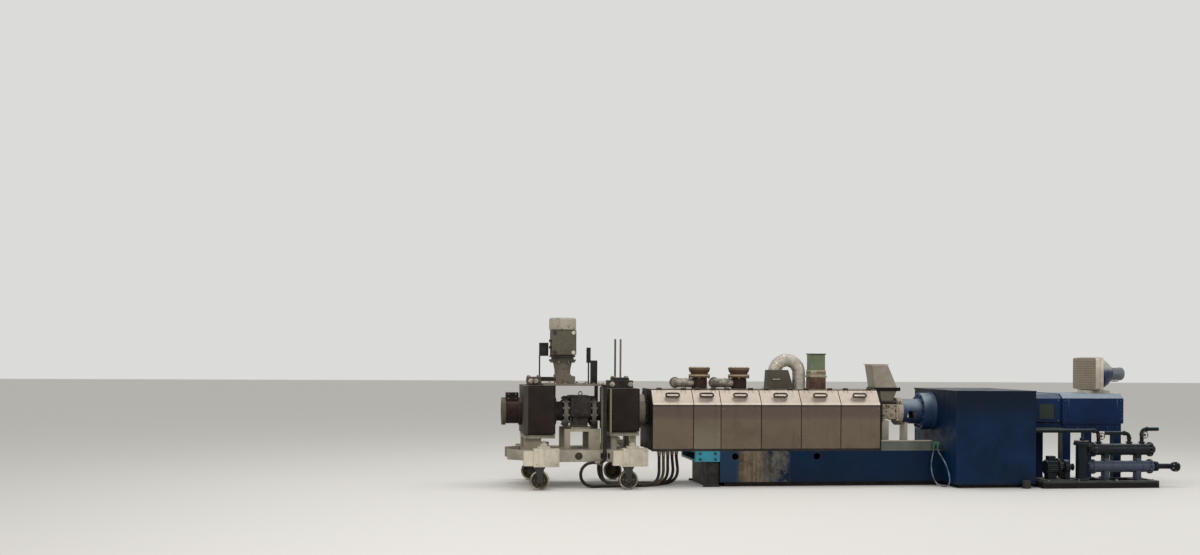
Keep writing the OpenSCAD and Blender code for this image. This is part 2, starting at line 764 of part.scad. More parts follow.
// Frame under the motor: four legs, foot plates and a top ring
module motor_frame() color(blue_deep) {
    y = motor_w / 2 - 20;
    for (x = [motor_x0 + 20, motor_x1 - 20 - leg_w]) {
        both_sides() {
            box(x, x + leg_w, -y, -y + leg_w, 20, motor_z0 - 100);
            box(x - 30, x + leg_w + 30, -y - 20, -y + leg_w + 30, 0, 20);
        }
        box(x, x + leg_w, -y, y, motor_z0 - 100, motor_z0);
    }
    both_sides() box(motor_x0 + 20, motor_x1 - 20, -y, -y + leg_w, motor_z0 - 100, motor_z0);
    both_sides() box(housing_x1, motor_x0 + 20, -y + 20, -y + leg_w, motor_z0 - 80, motor_z0);
}

blower_x0 = motor_x0 + 526;
blower_l = 60;
blower_frame_l = 44;
blower_z0 = motor_z1 + 48;
blower_h = 410;
blower_d = 610;

// Filter box of the motor's blower, a shallow box with round corners, in its frame on a foot
module blower_box() color(cream) {
    frame_x = blower_x0 + blower_l;
    box(blower_x0 + 8, frame_x + blower_frame_l + 150, -blower_d / 2 + 110, blower_d / 2 - 110,
        motor_z1, blower_z0 - 10);
    along_x(blower_x0, blower_l)
        polygon(round_rect(-blower_d / 2, blower_d / 2, blower_z0, blower_z0 + blower_h, 28));
    along_x(frame_x, blower_frame_l) polygon(round_rect(
        -blower_d / 2 - 8, blower_d / 2 + 8, blower_z0 - 10, blower_z0 + blower_h + 10, 12));
}

// Its fan scroll and motor, in line with the box: one turned shape
module blower_fan() color(blue_bright) {
    x = blower_x0 + blower_l + blower_frame_l;
    z = blower_z0 + blower_h / 2;
    translate([x, 0, z]) rotate([0, 90, 0]) rotate_extrude() polygon([
        [0, 0], [190, 0], [198, 10], [198, 104], [193, 130], [178, 162], [156, 192], [130, 218],
        [110, 236], [96, 246], [92, 264], [80, 268], [80, 366], [84, 372], [84, 410],
        [74, 424], [56, 430], [0, 430]
    ]);
}

// Oil unit

skid_x0 = housing_x1 + 50;
skid_y1 = -motor_w / 2 - 30;
cooler_x0 = skid_x0 + 730;
cooler_l = 790;
cooler_y = skid_y0 + 190;
cooler_z = [skid_h + 165, skid_h + 380];
saddle_w = 60;
saddle_x = [cooler_x0 + 150, cooler_x0 + cooler_l - 210];

// Skid of two rails, cross bars and four posts with a top bar
module oil_skid() color(oil_green) {
    for (y = [skid_y0, skid_y1 - 60]) box(skid_x0, skid_x0 + skid_l, y, y + 60, 0, skid_h);
    for (x = concat([skid_x0, skid_x0 + 420, skid_x0 + skid_l - 60], saddle_x))
        box(x, x + saddle_w, skid_y0 + 60, skid_y1 - 60, 20, skid_h);
    for (x = [skid_x0 + 20, skid_x0 + 420])
        box(x, x + 40, skid_y1 - 50, skid_y1 - 10, skid_h, 690);
    box(skid_x0 + 20, skid_x0 + 460, skid_y1 - 50, skid_y1 - 10, 690, 730);
    box(skid_x0 + 30, skid_x0 + 440, skid_y0 + 20, skid_y1 - 70, skid_h, skid_h + 14);
}

// One shell-and-tube cooler with end flanges, dished heads and two saddles
module cooler(z, foot_z) {
    rod_x(cooler_x0, cooler_l, cooler_y, z, cooler_r);
    for (x = [cooler_x0, cooler_x0 + cooler_l - 24])
        rod_x(x, 24, cooler_y, z, cooler_r + 20);
    translate([cooler_x0 + cooler_l, cooler_y, z]) rotate([0, 90, 0])
        cylinder(h = 46, r1 = cooler_r, r2 = cooler_r - 30);
    translate([cooler_x0, cooler_y, z]) rotate([0, -90, 0])
        cylinder(h = 46, r1 = cooler_r, r2 = cooler_r - 30);
    for (x = saddle_x) box(x, x + saddle_w, cooler_y - 50, cooler_y + 50, foot_z, z);
}

nozzle_x = [cooler_x0 + 90, cooler_x0 + 500, cooler_x0 + cooler_l - 120];
nozzle_z = cooler_z[1] + cooler_r + 12;

module oil_coolers() color(oil_green) {
    cooler(cooler_z[0], skid_h);
    cooler(cooler_z[1], cooler_z[0]);
    for (x = nozzle_x) rod_z(x, cooler_y, cooler_z[1], nozzle_z - cooler_z[1], oil_pipe_r + 8);
}

filter_x = skid_x0 + 560;
filter_r = 68;

// Vertical oil filter with a bolted cover, on a foot
module oil_filter() color(oil_green) {
    y = skid_y0 + 130;
    rod_z(filter_x, y, skid_h, 20, filter_r + 25);
    rod_z(filter_x, y, skid_h + 20, 420, filter_r);
    rod_z(filter_x, y, skid_h + 440, 26, filter_r + 28);
    rod_z(filter_x, y, skid_h + 466, 24, filter_r + 20);
    rod_z(filter_x, y, skid_h + 490, 40, 22);
}

pump_x = skid_x0 + 90;

// Oil pump and its motor in line on the skid
module oil_pump() color(oil_green) {
    y = skid_y0 + 150;
    z = skid_h + 14 + 150;
    rod_x(pump_x, 150, y, z, 88);
    rod_x(pump_x + 150, 18, y, z, 112);
    rod_x(pump_x + 168, 70, y, z, 60);
    rod_x(pump_x + 238, 60, y, z, 92);
    box(pump_x + 20, pump_x + 130, y - 60, y + 60, skid_h + 14, z);
    box(pump_x + 240, pump_x + 290, y - 70, y + 70, skid_h + 14, z);
    box(pump_x + 30, pump_x + 120, y - 45, y + 45, z + 60, z + 140);
}

pipe_flange_r = oil_pipe_r + 20;
pipe_flange_t = 12;
elbow_r = 60;

// Quarter bend from up to +X or -X, between two flanges
module pipe_elbow(x, y, z, dir) {
    translate([x, y, z]) mirror([dir < 0 ? 1 : 0, 0, 0]) translate([elbow_r, 0, 0])
        rotate([90, 0, 0]) rotate([0, 0, 90])
            rotate_extrude(angle = 90) translate([elbow_r, 0]) circle(r = oil_pipe_r);
}

// Riser out of the filter or a cooler, with a bend and a level run
module oil_riser(x, y, z0, z1, dir, run) {
    rod_z(x, y, z0, pipe_flange_t, pipe_flange_r);
    rod_z(x, y, z0 + pipe_flange_t, z1 - z0 - 2 * pipe_flange_t, oil_pipe_r);
    rod_z(x, y, z1 - pipe_flange_t, pipe_flange_t, oil_pipe_r + 8);
    pipe_elbow(x, y, z1, dir);
    a = x + dir * elbow_r;
    rod_x(dir > 0 ? a : a - pipe_flange_t, pipe_flange_t, y, z1 + elbow_r, oil_pipe_r + 8);
    rod_x(dir > 0 ? a + pipe_flange_t : a - run, run - pipe_flange_t, y, z1 + elbow_r, oil_pipe_r);
}

// Pipework of the oil unit
module oil_pipes() color(grey_green) {
    y = cooler_y;
    run = nozzle_x[0] - elbow_r - housing_x1;
    oil_riser(nozzle_x[0], y, nozzle_z, nozzle_z + 90, -1, run);
    oil_riser(nozzle_x[1], y, nozzle_z, nozzle_z + 60, -1, 260);
    oil_riser(nozzle_x[2], y, nozzle_z, nozzle_z + 110, 1, 160);
    far_connection();
    rod_x(pump_x + 298, 60, skid_y0 + 150, skid_h + 164, oil_pipe_r);
    rod_x(pump_x + 358, pipe_flange_t, skid_y0 + 150, skid_h + 164, pipe_flange_r);
}

far_r = 34;
far_flange_r = 62;
far_bend = 70;
far_run = 165;

// Water connection at the lower cooler's far head: a flange pair, a pipe and a bend to the front
module far_connection() {
    x = cooler_x0 + cooler_l + 46;
    z = cooler_z[0];
    rod_x(x, 18, cooler_y, z, far_flange_r);
    rod_x(x + 22, 18, cooler_y, z, far_flange_r);
    rod_x(x, far_run, cooler_y, z, far_r);
    translate([x + far_run, cooler_y - far_bend, z]) rotate_extrude(angle = 90)
        translate([far_bend, 0]) circle(r = far_r);
    for (y = [cooler_y - far_bend - 18, cooler_y - far_bend - 40])
        rod_y(x + far_run + far_bend, y, 18, z, far_flange_r);
    rod_y(x + far_run + far_bend, cooler_y - far_bend - 40, 40, z, far_r);
}

// Melt end

bolt_circle_r = 150;
bolt_r = 9;
bolts = 8;

// Die head: stepped body with a bolt circle and an extrusion ring on its face
module die_head() color(brown_lagging) {
    difference() {
        union() {
            rod_x(die_x0, 46, 0, axis_z, die_r);
            rod_x(die_x0 + 46, die_l - 86, 0, axis_z, die_r - 18);
            rod_x(changer_x0 - 40, 40, 0, axis_z, die_r);
        }
        for (k = [0:bolts - 1])
            rotate_about_axis(k * 360 / bolts)
                rod_x(die_x0 - 1, 31, 0, axis_z + bolt_circle_r, bolt_r);
        rod_x(die_x0 - 1, 19, 0, axis_z, 78);
    }
    // Terminal block of its heater, on top
    box(die_x0 + 52, changer_x0 - 44, -95, 95, axis_z + die_r - 60, axis_z + die_r + 62);
}

// Turns what it holds about the screw centreline
module rotate_about_axis(a) {
    translate([0, 0, axis_z]) rotate([a, 0, 0]) translate([0, 0, -axis_z]) children();
}

// An insulated block: lagging panels with a metal edge strip
module lagged_block(x0, l, z0, z1) {
    translate([0, 0, z0]) linear_extrude(z1 - z0)
        polygon(round_rect(x0, x0 + l, -block_y, block_y, lagging_r));
    both_sides() box(x0 + lagging_r + 2, x0 + lagging_r + 26, -block_y - 8, -block_y, z0 - 12, z1);
}

module screen_changer() color(brown_lagging) {
    lagged_block(changer_x0, changer_l, block_z0, block_z1);
}

// Melt pump: body between two flanges, side brackets and fittings
module melt_pump() color(iron_dark) {
    body_x0 = pump_x0 + 210;
    rod_x(pump_x0, 40, 0, axis_z, 170);
    rod_x(pump_x0 + 40, 90, 0, axis_z, 120);
    rod_x(pump_x0 + 130, 50, 0, axis_z, 190);
    rod_x(pump_x0 + 180, 30, 0, axis_z, 150);
    along_x(body_x0, 240) polygon(round_rect(-250, 250, axis_z - 70, axis_z + 196, 40));
    along_x(body_x0 + 30, 180) polygon(round_rect(-200, 200, axis_z - 190, axis_z - 30, 30));
    // Cheek plates bolted to its front and back
    both_sides() box(body_x0 + 34, body_x0 + 206, -264, -250, axis_z - 30, axis_z + 150);
    rod_x(body_x0 + 240, 30, 0, axis_z, 150);
    rod_x(body_x0 + 270, 50, 0, axis_z, 190);
    rod_x(body_x0 + 320, pump_l - 530, 0, axis_z, 120);
}

module starting_valve() color(brown_lagging) {
    lagged_block(valve_x0, valve_l, valve_z0, valve_z1);
}

// Split clamp ring between the valve and the barrel
module adapter_ring() color(steel_dull) {
    rod_x(valve_x1, 20, 0, axis_z, 190);
    rod_x(valve_x1 + 20, ring_l - 30, 0, axis_z, 215);
    rod_x(valve_x1 + ring_l - 10, 10, 0, axis_z, 150);
}

// Plate over the pump that carries its motor, held on posts from the beams
module pump_top_plate() color(steel_dull) {
    box(pump_x0 - 150, plate_x1, -block_y, block_y, top_plate_z, top_plate_z + top_plate_t);
    both_sides() box(plate_x1 - 50, plate_x1 - 8, -block_y + 60, -block_y + 110, beam_z1, top_plate_z);
}

fan_cover_h = 148;

// Vertical pump motor: square base, waisted lantern, flange, ribbed drum, terminal box and fan cover
module pump_motor() color(cream) {
    z = top_plate_z + top_plate_t;
    lantern_z = z + 92;
    flange_z = lantern_z + 186;
    body_z = flange_z + 72;
    cover_z = pump_motor_top - fan_cover_h;
    half = pump_motor_r - 12;
    box(pump_motor_x - 92, pump_motor_x + 148, -120, 120, z, lantern_z);
    translate([pump_motor_x, 0, 0]) rotate_extrude() polygon([
        [0, lantern_z - 4], [112, lantern_z - 4], [112, lantern_z + 16], [98, lantern_z + 26],
        [100, lantern_z + 80], [114, lantern_z + 150], [126, flange_z], [pump_motor_r, flange_z],
        [pump_motor_r, flange_z + 22], [pump_motor_r - 28, flange_z + 26],
        [pump_motor_r - 28, flange_z + 48], [pump_motor_r - 6, flange_z + 52],
        [pump_motor_r - 6, body_z], [0, body_z]
    ]);
    translate([pump_motor_x, 0, body_z]) linear_extrude(cover_z - body_z)
        polygon(fin_points(half - 22, half, 30));
    // Terminal box over the front of the drum, with its four lid bosses
    box(pump_motor_x - terminal_w / 2, pump_motor_x + terminal_w / 2, -half - 44, -half + 60,
        body_z + 10, cover_z - 10);
    for (dx = [-1, 1], dz = [38, cover_z - body_z - 38])
        rod_y(pump_motor_x + dx * (terminal_w / 2 - 36), -half - 54, 12, body_z + dz, 24);
    translate([pump_motor_x, 0, cover_z]) rotate_extrude() polygon([
        [0, 0], [pump_motor_r, 0], [pump_motor_r, fan_cover_h - 20],
        [pump_motor_r - 8, fan_cover_h - 6], [pump_motor_r - 22, fan_cover_h], [0, fan_cover_h]
    ]);
}

terminal_w = 300;

// Supports that stand on the carriage beams under the blocks and the pump
module melt_supports() color(cream) {
    box(changer_x0 + 10, changer_x0 + changer_l, -360, 360, block_z0 - 54, block_z0 - 12);
    for (y = [-300, 230])
        box(changer_x0 + 12, changer_x0 + 220, y, y + 70, beam_z1, block_z0 - 54);
    box(valve_x0 + 30, valve_x0 + valve_l, -360, 360, valve_z0 - 54, valve_z0 - 12);
    for (dx = [50, 290], y = [-300, 230])
        box(valve_x0 + dx, valve_x0 + dx + 70, y, y + 70, beam_z1, valve_z0 - 54);
    both_sides() {
        box(pump_x0 + 118, pump_x0 + 190, -320, -250, beam_z1, axis_z - 238);
        box(pump_x0 + 118, pump_x0 + 560, -320, -250, axis_z - 238, axis_z - 206);
        box(pump_x0 + 420, pump_x0 + 560, -320, -250, beam_z1, axis_z - 238);
    }
    box(pump_x0 + 210, pump_x0 + 450, -250, 250, axis_z - 230, axis_z - 190);
}

probe_r = 9;
plate_z0 = block_z1 + 360;
probe_x = valve_x0 - 197;

// Sensors on the melt line: a junction plate on a post, a probe on its rod, a terminal block, two rods
module melt_sensors() color(iron_dark) {
    top = top_plate_z + top_plate_t;
    rod_z(changer_x0 + 220, 0, clamp_z1, plate_z0 + 5 - clamp_z1, probe_r);
    box(changer_x0 + 214, changer_x0 + 330, -6, 6, plate_z0, plate_z0 + 165);
    rod_z(probe_x, 0, top, 260, probe_r);
    rod_z(probe_x, 0, top + 260, 190, 3 * probe_r);
    box(probe_x + 28, probe_x + 106, -45, 45, top, top + 290);
    for (x = [valve_x0 + 140, valve_x0 + 207]) rod_z(x, 0, valve_clamp_z1, 480, 12);
}

clamp_z1 = block_z1 + 100;
valve_clamp_z1 = valve_z1 + 130;

// Clamped heads on top of the screen changer and the starting valve
module clamp_heads() color(iron_dark) {
    box(changer_x0 + 70, changer_x0 + 230, -160, 160, block_z1, clamp_z1);
    for (x = [changer_x0 + 100, changer_x0 + 160]) rod_y(x, -190, 380, block_z1 + 50, 20);
    box(changer_x0 + 230, changer_x0 + 400, -60, 60, block_z1 + top_plate_t + 30, clamp_z1);
    box(valve_x0 + 45, valve_x0 + 345, -150, 150, valve_z1, valve_z1 + 95);
    box(valve_x0 + 95, valve_x0 + 300, -110, 110, valve_z1 + 95, valve_clamp_z1);
    for (x = [valve_x0 + 80, valve_x0 + 310]) rod_y(x, -185, 370, valve_z1 + 45, 22);
}

// Upright conduit at the front of the melt pump, down to the supply hose
module hose_riser() color(grey_green) {
    rod_z(riser_x, riser_y, riser_z0 + 120, top_plate_z - riser_z0 - 120, riser_r);
    rod_z(riser_x, riser_y, riser_z0 + riser_bend, 130 - riser_bend, riser_r + 5);
    translate([riser_x - riser_bend, riser_y, riser_z0 + riser_bend]) rotate([90, 0, 0])
        rotate([0, 0, -90]) rotate_extrude(angle = 90) translate([riser_bend, 0]) circle(r = riser_r);
    box(riser_x - 30, riser_x + 22, riser_y - 24, -block_y, top_plate_z, top_plate_z + top_plate_t);
}

riser_x = plate_x1 - 24;
riser_y = -block_y - 80;
riser_z0 = 310;
riser_r = 21;
riser_bend = 60;

// Carriage

// Beams of the carriage: two across, three along, and two slanting arms to the die side
module carriage_frame() color(cream) {
    for (x = wheel_x)
        box(x - beam_w / 2, x + beam_w / 2, -track_y + box_w / 2 + 20, track_y - box_w / 2 - 20,
            beam_z0, beam_z1);
    both_sides() {
        difference() {
            box(wheel_x[0] + beam_w / 2, wheel_x[1] - beam_w / 2, -long_y - beam_w, -long_y,
                beam_z0, beam_z1);
            beam_cuts();
        }
        box(changer_x0 + 12, wheel_x[0] - beam_w / 2, -330, -220, beam_z1 - 70, beam_z1);
        box(wheel_x[0] + beam_w / 2, wheel_x[1] - beam_w / 2, -330, -220, beam_z1 - 70, beam_z1);
        box(wheel_x[1] + beam_w / 2, valve_x0 + valve_l, -330, -220, beam_z1 - 70, beam_z1);
        carriage_arm();
    }
    box(bearer_x0, bearer_x0 + 110, -long_y, long_y, beam_z0, beam_z1 - 70);
}

bearer_x0 = plate_x1 - 92;

// Cut-outs in a long beam's outer face: a notch shaped like a V and two round-ended slots
module beam_cuts() {
    mid = (wheel_x[0] + wheel_x[1]) / 2;
    z = (beam_z0 + beam_z1) / 2;
    along_y(-long_y - beam_w - 1, cut_depth + 1) {
        translate([mid - 40, z]) polygon([
            [-34, 28], [-14, 28], [0, -6], [14, 28], [34, 28], [10, -28], [-10, -28]
        ]);
        for (dx = [240, 330]) translate([mid + dx, z]) rotate(90) polygon(slot_points(74, 24));
    }
}

cut_depth = 30;

// Slanting arm in plan, from the end of the first cross beam to the nose
module carriage_arm() {
    translate([0, 0, beam_z0 + 20]) linear_extrude(beam_z1 - beam_z0 - 20) polygon([
        [wheel_x[0] - beam_w / 2, -track_y + 95], [wheel_x[0] - beam_w / 2, -track_y + 205],
        [die_x0 + 60, -170], [die_x0 + 60, -270]
    ]);
}

// Box at each corner with its jacking boss and the fork that holds a wheel
module corner_box(x) {
    y0 = -track_y - box_w / 2;
    box(x - 72, x - 72 + box_l, y0, y0 + box_w, box_z0, box_z1);
    box(x - 190, x - 72, y0 + 15, y0 + box_w - 15, box_z0 + 12, box_z1 - 28);
    box(x - 20, x + 124, y0 + 15, y0 + box_w - 15, box_z1, box_z1 + 26);
    rod_z(x + 52, -track_y, box_z1 + 26, 34, 42);
    rod_z(x + 52, -track_y, box_z1 + 60, 18, 18);
    box(x - beam_w / 2, x + beam_w / 2, y0 + box_w, y0 + box_w + 20, beam_z0, beam_z1);
    box(x - 62, x + 62, -track_y - wheel_w / 2 - 8 - fork_t, -track_y + wheel_w / 2 + 8 + fork_t,
        box_z0 - 22, box_z0);
    for (side = [-1, 1])
        along_y(side < 0 ? -track_y - wheel_w / 2 - 8 - fork_t : -track_y + wheel_w / 2 + 8, fork_t)
            polygon([
                [x - 52, box_z0 - 22], [x + 52, box_z0 - 22],
                [x + 24, wheel_r - 26], [x - 24, wheel_r - 26]
            ]);
    rod_y(x, -track_y - wheel_w / 2 - 8 - fork_t - 8, wheel_w + 16 + 2 * fork_t + 16, wheel_r, axle_r);
}

module carriage_boxes() color(cream) {
    for (x = wheel_x) both_sides() corner_box(x);
}

axle_gap = 0.1;

// Wheel: tyre, rim and hub, bored to run on its axle
module wheel(x, y) {
    color(rubber_black) translate([x, y, wheel_r]) rotate([90, 0, 0]) rotate_extrude() polygon([
        [axle_r + axle_gap, -wheel_w / 2 - 3], [38, -wheel_w / 2 - 3], [42, -wheel_w / 2 + 16],
        [82, -wheel_w / 2 + 16], [88, -wheel_w / 2 + 2], [wheel_r - 6, -wheel_w / 2],
        [wheel_r, -wheel_w / 2 + 8], [wheel_r, wheel_w / 2 - 8], [wheel_r - 6, wheel_w / 2],
        [88, wheel_w / 2 - 2], [82, wheel_w / 2 - 16], [42, wheel_w / 2 - 16],
        [38, wheel_w / 2 + 3], [axle_r + axle_gap, wheel_w / 2 + 3]
    ]);
}

// Hoses, each swept along a smooth curve through its own points

hose_r = 19;
drain_r = 8;
hose_routes = [
    [[-2290, -340, 440], [-2290, -340, 350], [-2290, -341, 260], [-2291, -344, 175],
     [-2311, -350, 97], [-2367, -360, 41], [-2445, -372, 20], [-2550, -388, 20],
     [-2660, -404, 20], [-2770, -420, 20], [-2880, -436, 20], [-2985, -450, 20],
     [-3070, -462, 20], [-3135, -470, 20], [-3207, -474, 39], [-3261, -478, 92],
     [-3280, -480, 165], [-3261, -480, 238], [-3207, -480, 291], [-3135, -480, 310],
     [-3047, -480, 310]],
    [[-2225, -280, 440], [-2225, -280, 350], [-2225, -281, 260], [-2226, -283, 175],
     [-2246, -287, 97], [-2302, -294, 41], [-2380, -302, 20], [-2490, -312, 20],
     [-2610, -318, 20], [-2730, -316, 20], [-2845, -308, 20], [-2922, -300, 41],
     [-2979, -290, 97], [-3000, -282, 175], [-3000, -278, 245], [-3000, -278, 316]],
    [[-2160, -222, 440], [-2160, -222, 350], [-2160, -222, 260], [-2161, -223, 175],
     [-2181, -224, 97], [-2237, -228, 41], [-2315, -234, 20], [-2420, -240, 20],
     [-2530, -240, 20], [-2640, -232, 20], [-2745, -220, 20], [-2845, -208, 20],
     [-2922, -200, 41], [-2979, -194, 97], [-3000, -190, 175], [-3000, -188, 245],
     [-3000, -188, 316]],
    [[-2095, -165, 440], [-2095, -165, 355], [-2088, -165, 268], [-2082, -164, 180],
     [-2103, -162, 97], [-2159, -160, 41], [-2237, -158, 20], [-2340, -159, 20],
     [-2445, -155, 20], [-2550, -147, 20], [-2650, -139, 20], [-2750, -130, 20],
     [-2845, -124, 20], [-2922, -118, 41], [-2979, -112, 97], [-3000, -106, 175],
     [-3000, -104, 245], [-3000, -104, 316]],
    [[-2030, -110, 440], [-2030, -110, 355], [-2021, -109, 268], [-2012, -107, 180],
     [-2030, -104, 98], [-2086, -100, 41], [-2166, -95, 20], [-2280, -85, 20],
     [-2400, -72, 20], [-2520, -60, 20], [-2640, -52, 20], [-2750, -48, 20],
     [-2845, -45, 20], [-2922, -38, 41], [-2979, -30, 97], [-3000, -24, 175],
     [-3000, -20, 245], [-3000, -20, 316]]
];
drain_route = [
    [1192, -474, 518], [1192, -474, 494], [1192, -474, 466], [1186, -476, 420], [1170, -481, 345],
    [1156, -495, 260], [1156, -520, 165], [1170, -556, 85], [1196, -596, 34],
    [1232, -638, 12], [1268, -680, 12], [1298, -715, 36], [1306, -722, 100],
    [1302, -692, 190], [1288, -625, 290], [1268, -545, 370], [1252, -492, 424],
    [1248, -474, 466], [1248, -474, 494], [1248, -474, 518]
];

// Catmull-Rom point between b and c
function curve_point(a, b, c, d, t) =
    0.5 * (2 * b + (c - a) * t + (2 * a - 5 * b + 4 * c - d) * t * t
           + (3 * b - a - 3 * c + d) * t * t * t);
function at(points, i) = points[max(0, min(len(points) - 1, i))];
function smooth(points, steps) = concat(
    [for (i = [0:len(points) - 2], k = [0:steps - 1])
        curve_point(at(points, i - 1), points[i], points[i + 1], at(points, i + 2), k / steps)],
    [points[len(points) - 1]]);
function unit(v) = v / norm(v);
function heading(p, i) = unit(at(p, i + 1) - at(p, i - 1));
function side_of(t) = unit(cross(t, abs(t[1]) < 0.9 ? [0, 1, 0] : [1, 0, 0]));

// A closed tube round a line of points
module tube(p, r, sides) {
    n = len(p);
    points = concat([for (i = [0:n - 1], k = [0:sides - 1])
        let (t = heading(p, i), u = side_of(t), v = cross(t, u), a = 360 * k / sides)
        p[i] + r * (cos(a) * u + sin(a) * v)], [p[0], p[n - 1]]);
    walls = [for (i = [0:n - 2], k = [0:sides - 1], half = [0, 1])
        let (a = i * sides + k, b = i * sides + (k + 1) % sides)
        half == 0 ? [a, a + sides, b] : [b, a + sides, b + sides]];
    caps = [for (k = [0:sides - 1], end = [0, 1])
        let (a = k, b = (k + 1) % sides)
        end == 0 ? [a, b, n * sides] : [(n - 1) * sides + b, (n - 1) * sides + a, n * sides + 1]];
    polyhedron(points = points, faces = concat(walls, caps));
}

// Supply hoses from the covers' manifold over the floor to the melt end
module supply_hoses() color(rubber_black) for (route = hose_routes) tube(route, hose_r, 10);

module drain_hose() color(grey_green) tube(smooth(drain_route, 2), drain_r, 8);

bed_frame();
bed_plinths();
bed_channel();
bed_end_bracket();
cover_rails();
front_panels();
rear_panels();
top_deck();
end_panels();
barrel_sections();
barrel_pedestals();
vent_ports();
vent_ducts();
fume_hood();
fume_duct();
stuffer_housing();
stuffer_motor();
feed_barrel();
feed_funnel();
feed_chute();
drive_lantern();
gearbox_housing();
coupling_guard();
main_motor();
motor_frame();
blower_box();
blower_fan();
oil_skid();
oil_coolers();
oil_filter();
oil_pump();
oil_pipes();
die_head();
screen_changer();
melt_pump();
starting_valve();
adapter_ring();
pump_top_plate();
pump_motor();
melt_supports();
melt_sensors();
clamp_heads();
hose_riser();
carriage_frame();
carriage_boxes();
for (i = [0:5]) lid(i);
for (i = [0:3]) wheel(wheel_x[i % 2], i < 2 ? -track_y : track_y);
supply_hoses();
drain_hose();
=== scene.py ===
"""Looks of a twin-screw plastic extruder with a wheeled melt end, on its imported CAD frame.

X runs along the screws from the die to the motor, Y to the back, Z up, all in metres.
"""

import math

import bmesh
import bpy
import numpy as np
from mathutils import Matrix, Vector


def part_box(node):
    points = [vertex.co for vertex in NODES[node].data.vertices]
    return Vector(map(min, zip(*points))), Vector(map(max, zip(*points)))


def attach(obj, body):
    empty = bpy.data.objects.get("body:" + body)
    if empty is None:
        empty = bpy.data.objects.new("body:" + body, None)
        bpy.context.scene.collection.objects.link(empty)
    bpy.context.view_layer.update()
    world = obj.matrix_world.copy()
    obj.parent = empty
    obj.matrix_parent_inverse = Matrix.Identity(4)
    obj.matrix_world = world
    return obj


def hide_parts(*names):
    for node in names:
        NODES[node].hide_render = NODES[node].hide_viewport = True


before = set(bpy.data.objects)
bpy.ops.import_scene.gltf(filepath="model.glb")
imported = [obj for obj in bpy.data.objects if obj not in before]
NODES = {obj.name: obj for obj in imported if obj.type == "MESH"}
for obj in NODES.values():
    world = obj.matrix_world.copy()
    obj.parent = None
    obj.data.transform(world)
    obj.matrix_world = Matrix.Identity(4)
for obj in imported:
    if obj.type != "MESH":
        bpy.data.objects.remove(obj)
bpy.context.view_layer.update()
scene = bpy.context.scene
LIDS = [name for name in NODES if name.startswith("barrel_lid")]
WHEELS = [name for name in NODES if name.startswith("carriage_wheel")]
UP, DOWN, RIGHT, LEFT = (0, 0, 1), (0, 0, -1), (1, 0, 0), (-1, 0, 0)
FRONT, BACK = (0, -1, 0), (0, 1, 0)
SIDES = {"front": -1, "back": 1}


# ---------------------------------------------------------------- shader maths


def linear(r, g, b):
    """A colour as seen on screen, in the linear values that shaders use: ((c + 0.055) / 1.055) ^ 2.4."""
    c = np.array([r, g, b], float)
    c = np.where(c <= 0.04045, c / 12.92, ((c + 0.055) / 1.055) ** 2.4)
    return (*c.tolist(), 1.0)


def shade(colour, factor=1.0, lift=0.0):
    """A screen colour made lighter or darker, in linear values."""
    return linear(*(min(1.0, c * factor + lift) for c in colour))


class Value:
    """A shader output; arithmetic on it adds Math nodes."""

    def __init__(self, finish, socket):
        self.finish = finish
        self.socket = socket

    def maths(self, operation, *values, clamp=False):
        return self.finish.add("ShaderNodeMath", dict(enumerate(values)), operation=operation, use_clamp=clamp)

    def __add__(self, other):
        return self.maths("ADD", self, other)

    def __sub__(self, other):
        return self.maths("SUBTRACT", self, other)

    def __rsub__(self, other):
        return self.maths("SUBTRACT", other, self)

    def __mul__(self, other):
        return self.maths("MULTIPLY", self, other)

    def __pow__(self, other):
        return self.maths("POWER", self, other)

    __radd__, __rmul__ = __add__, __mul__

    def clamped(self):
        return self.maths("ADD", self, 0.0, clamp=True)

    def sine(self):
        return self.maths("SINE", self)

    def step(self, low, high):
        """0 below low, 1 above high and smooth between them."""
        limits = {"Value": self, "From Min": low, "From Max": high}
        return self.finish.add("ShaderNodeMapRange", limits, interpolation_type="SMOOTHSTEP")

    def below(self, low, high):
        """1 below low, 0 above high."""
        return 1.0 - self.step(low, high)

    def over(self, edge, soft=0.001):
        """1 above an edge and 0 below it."""
        return self.step(edge - soft, edge + soft)

    def under(self, edge, soft=0.001):
        """1 below an edge and 0 above it."""
        return self.below(edge - soft, edge + soft)


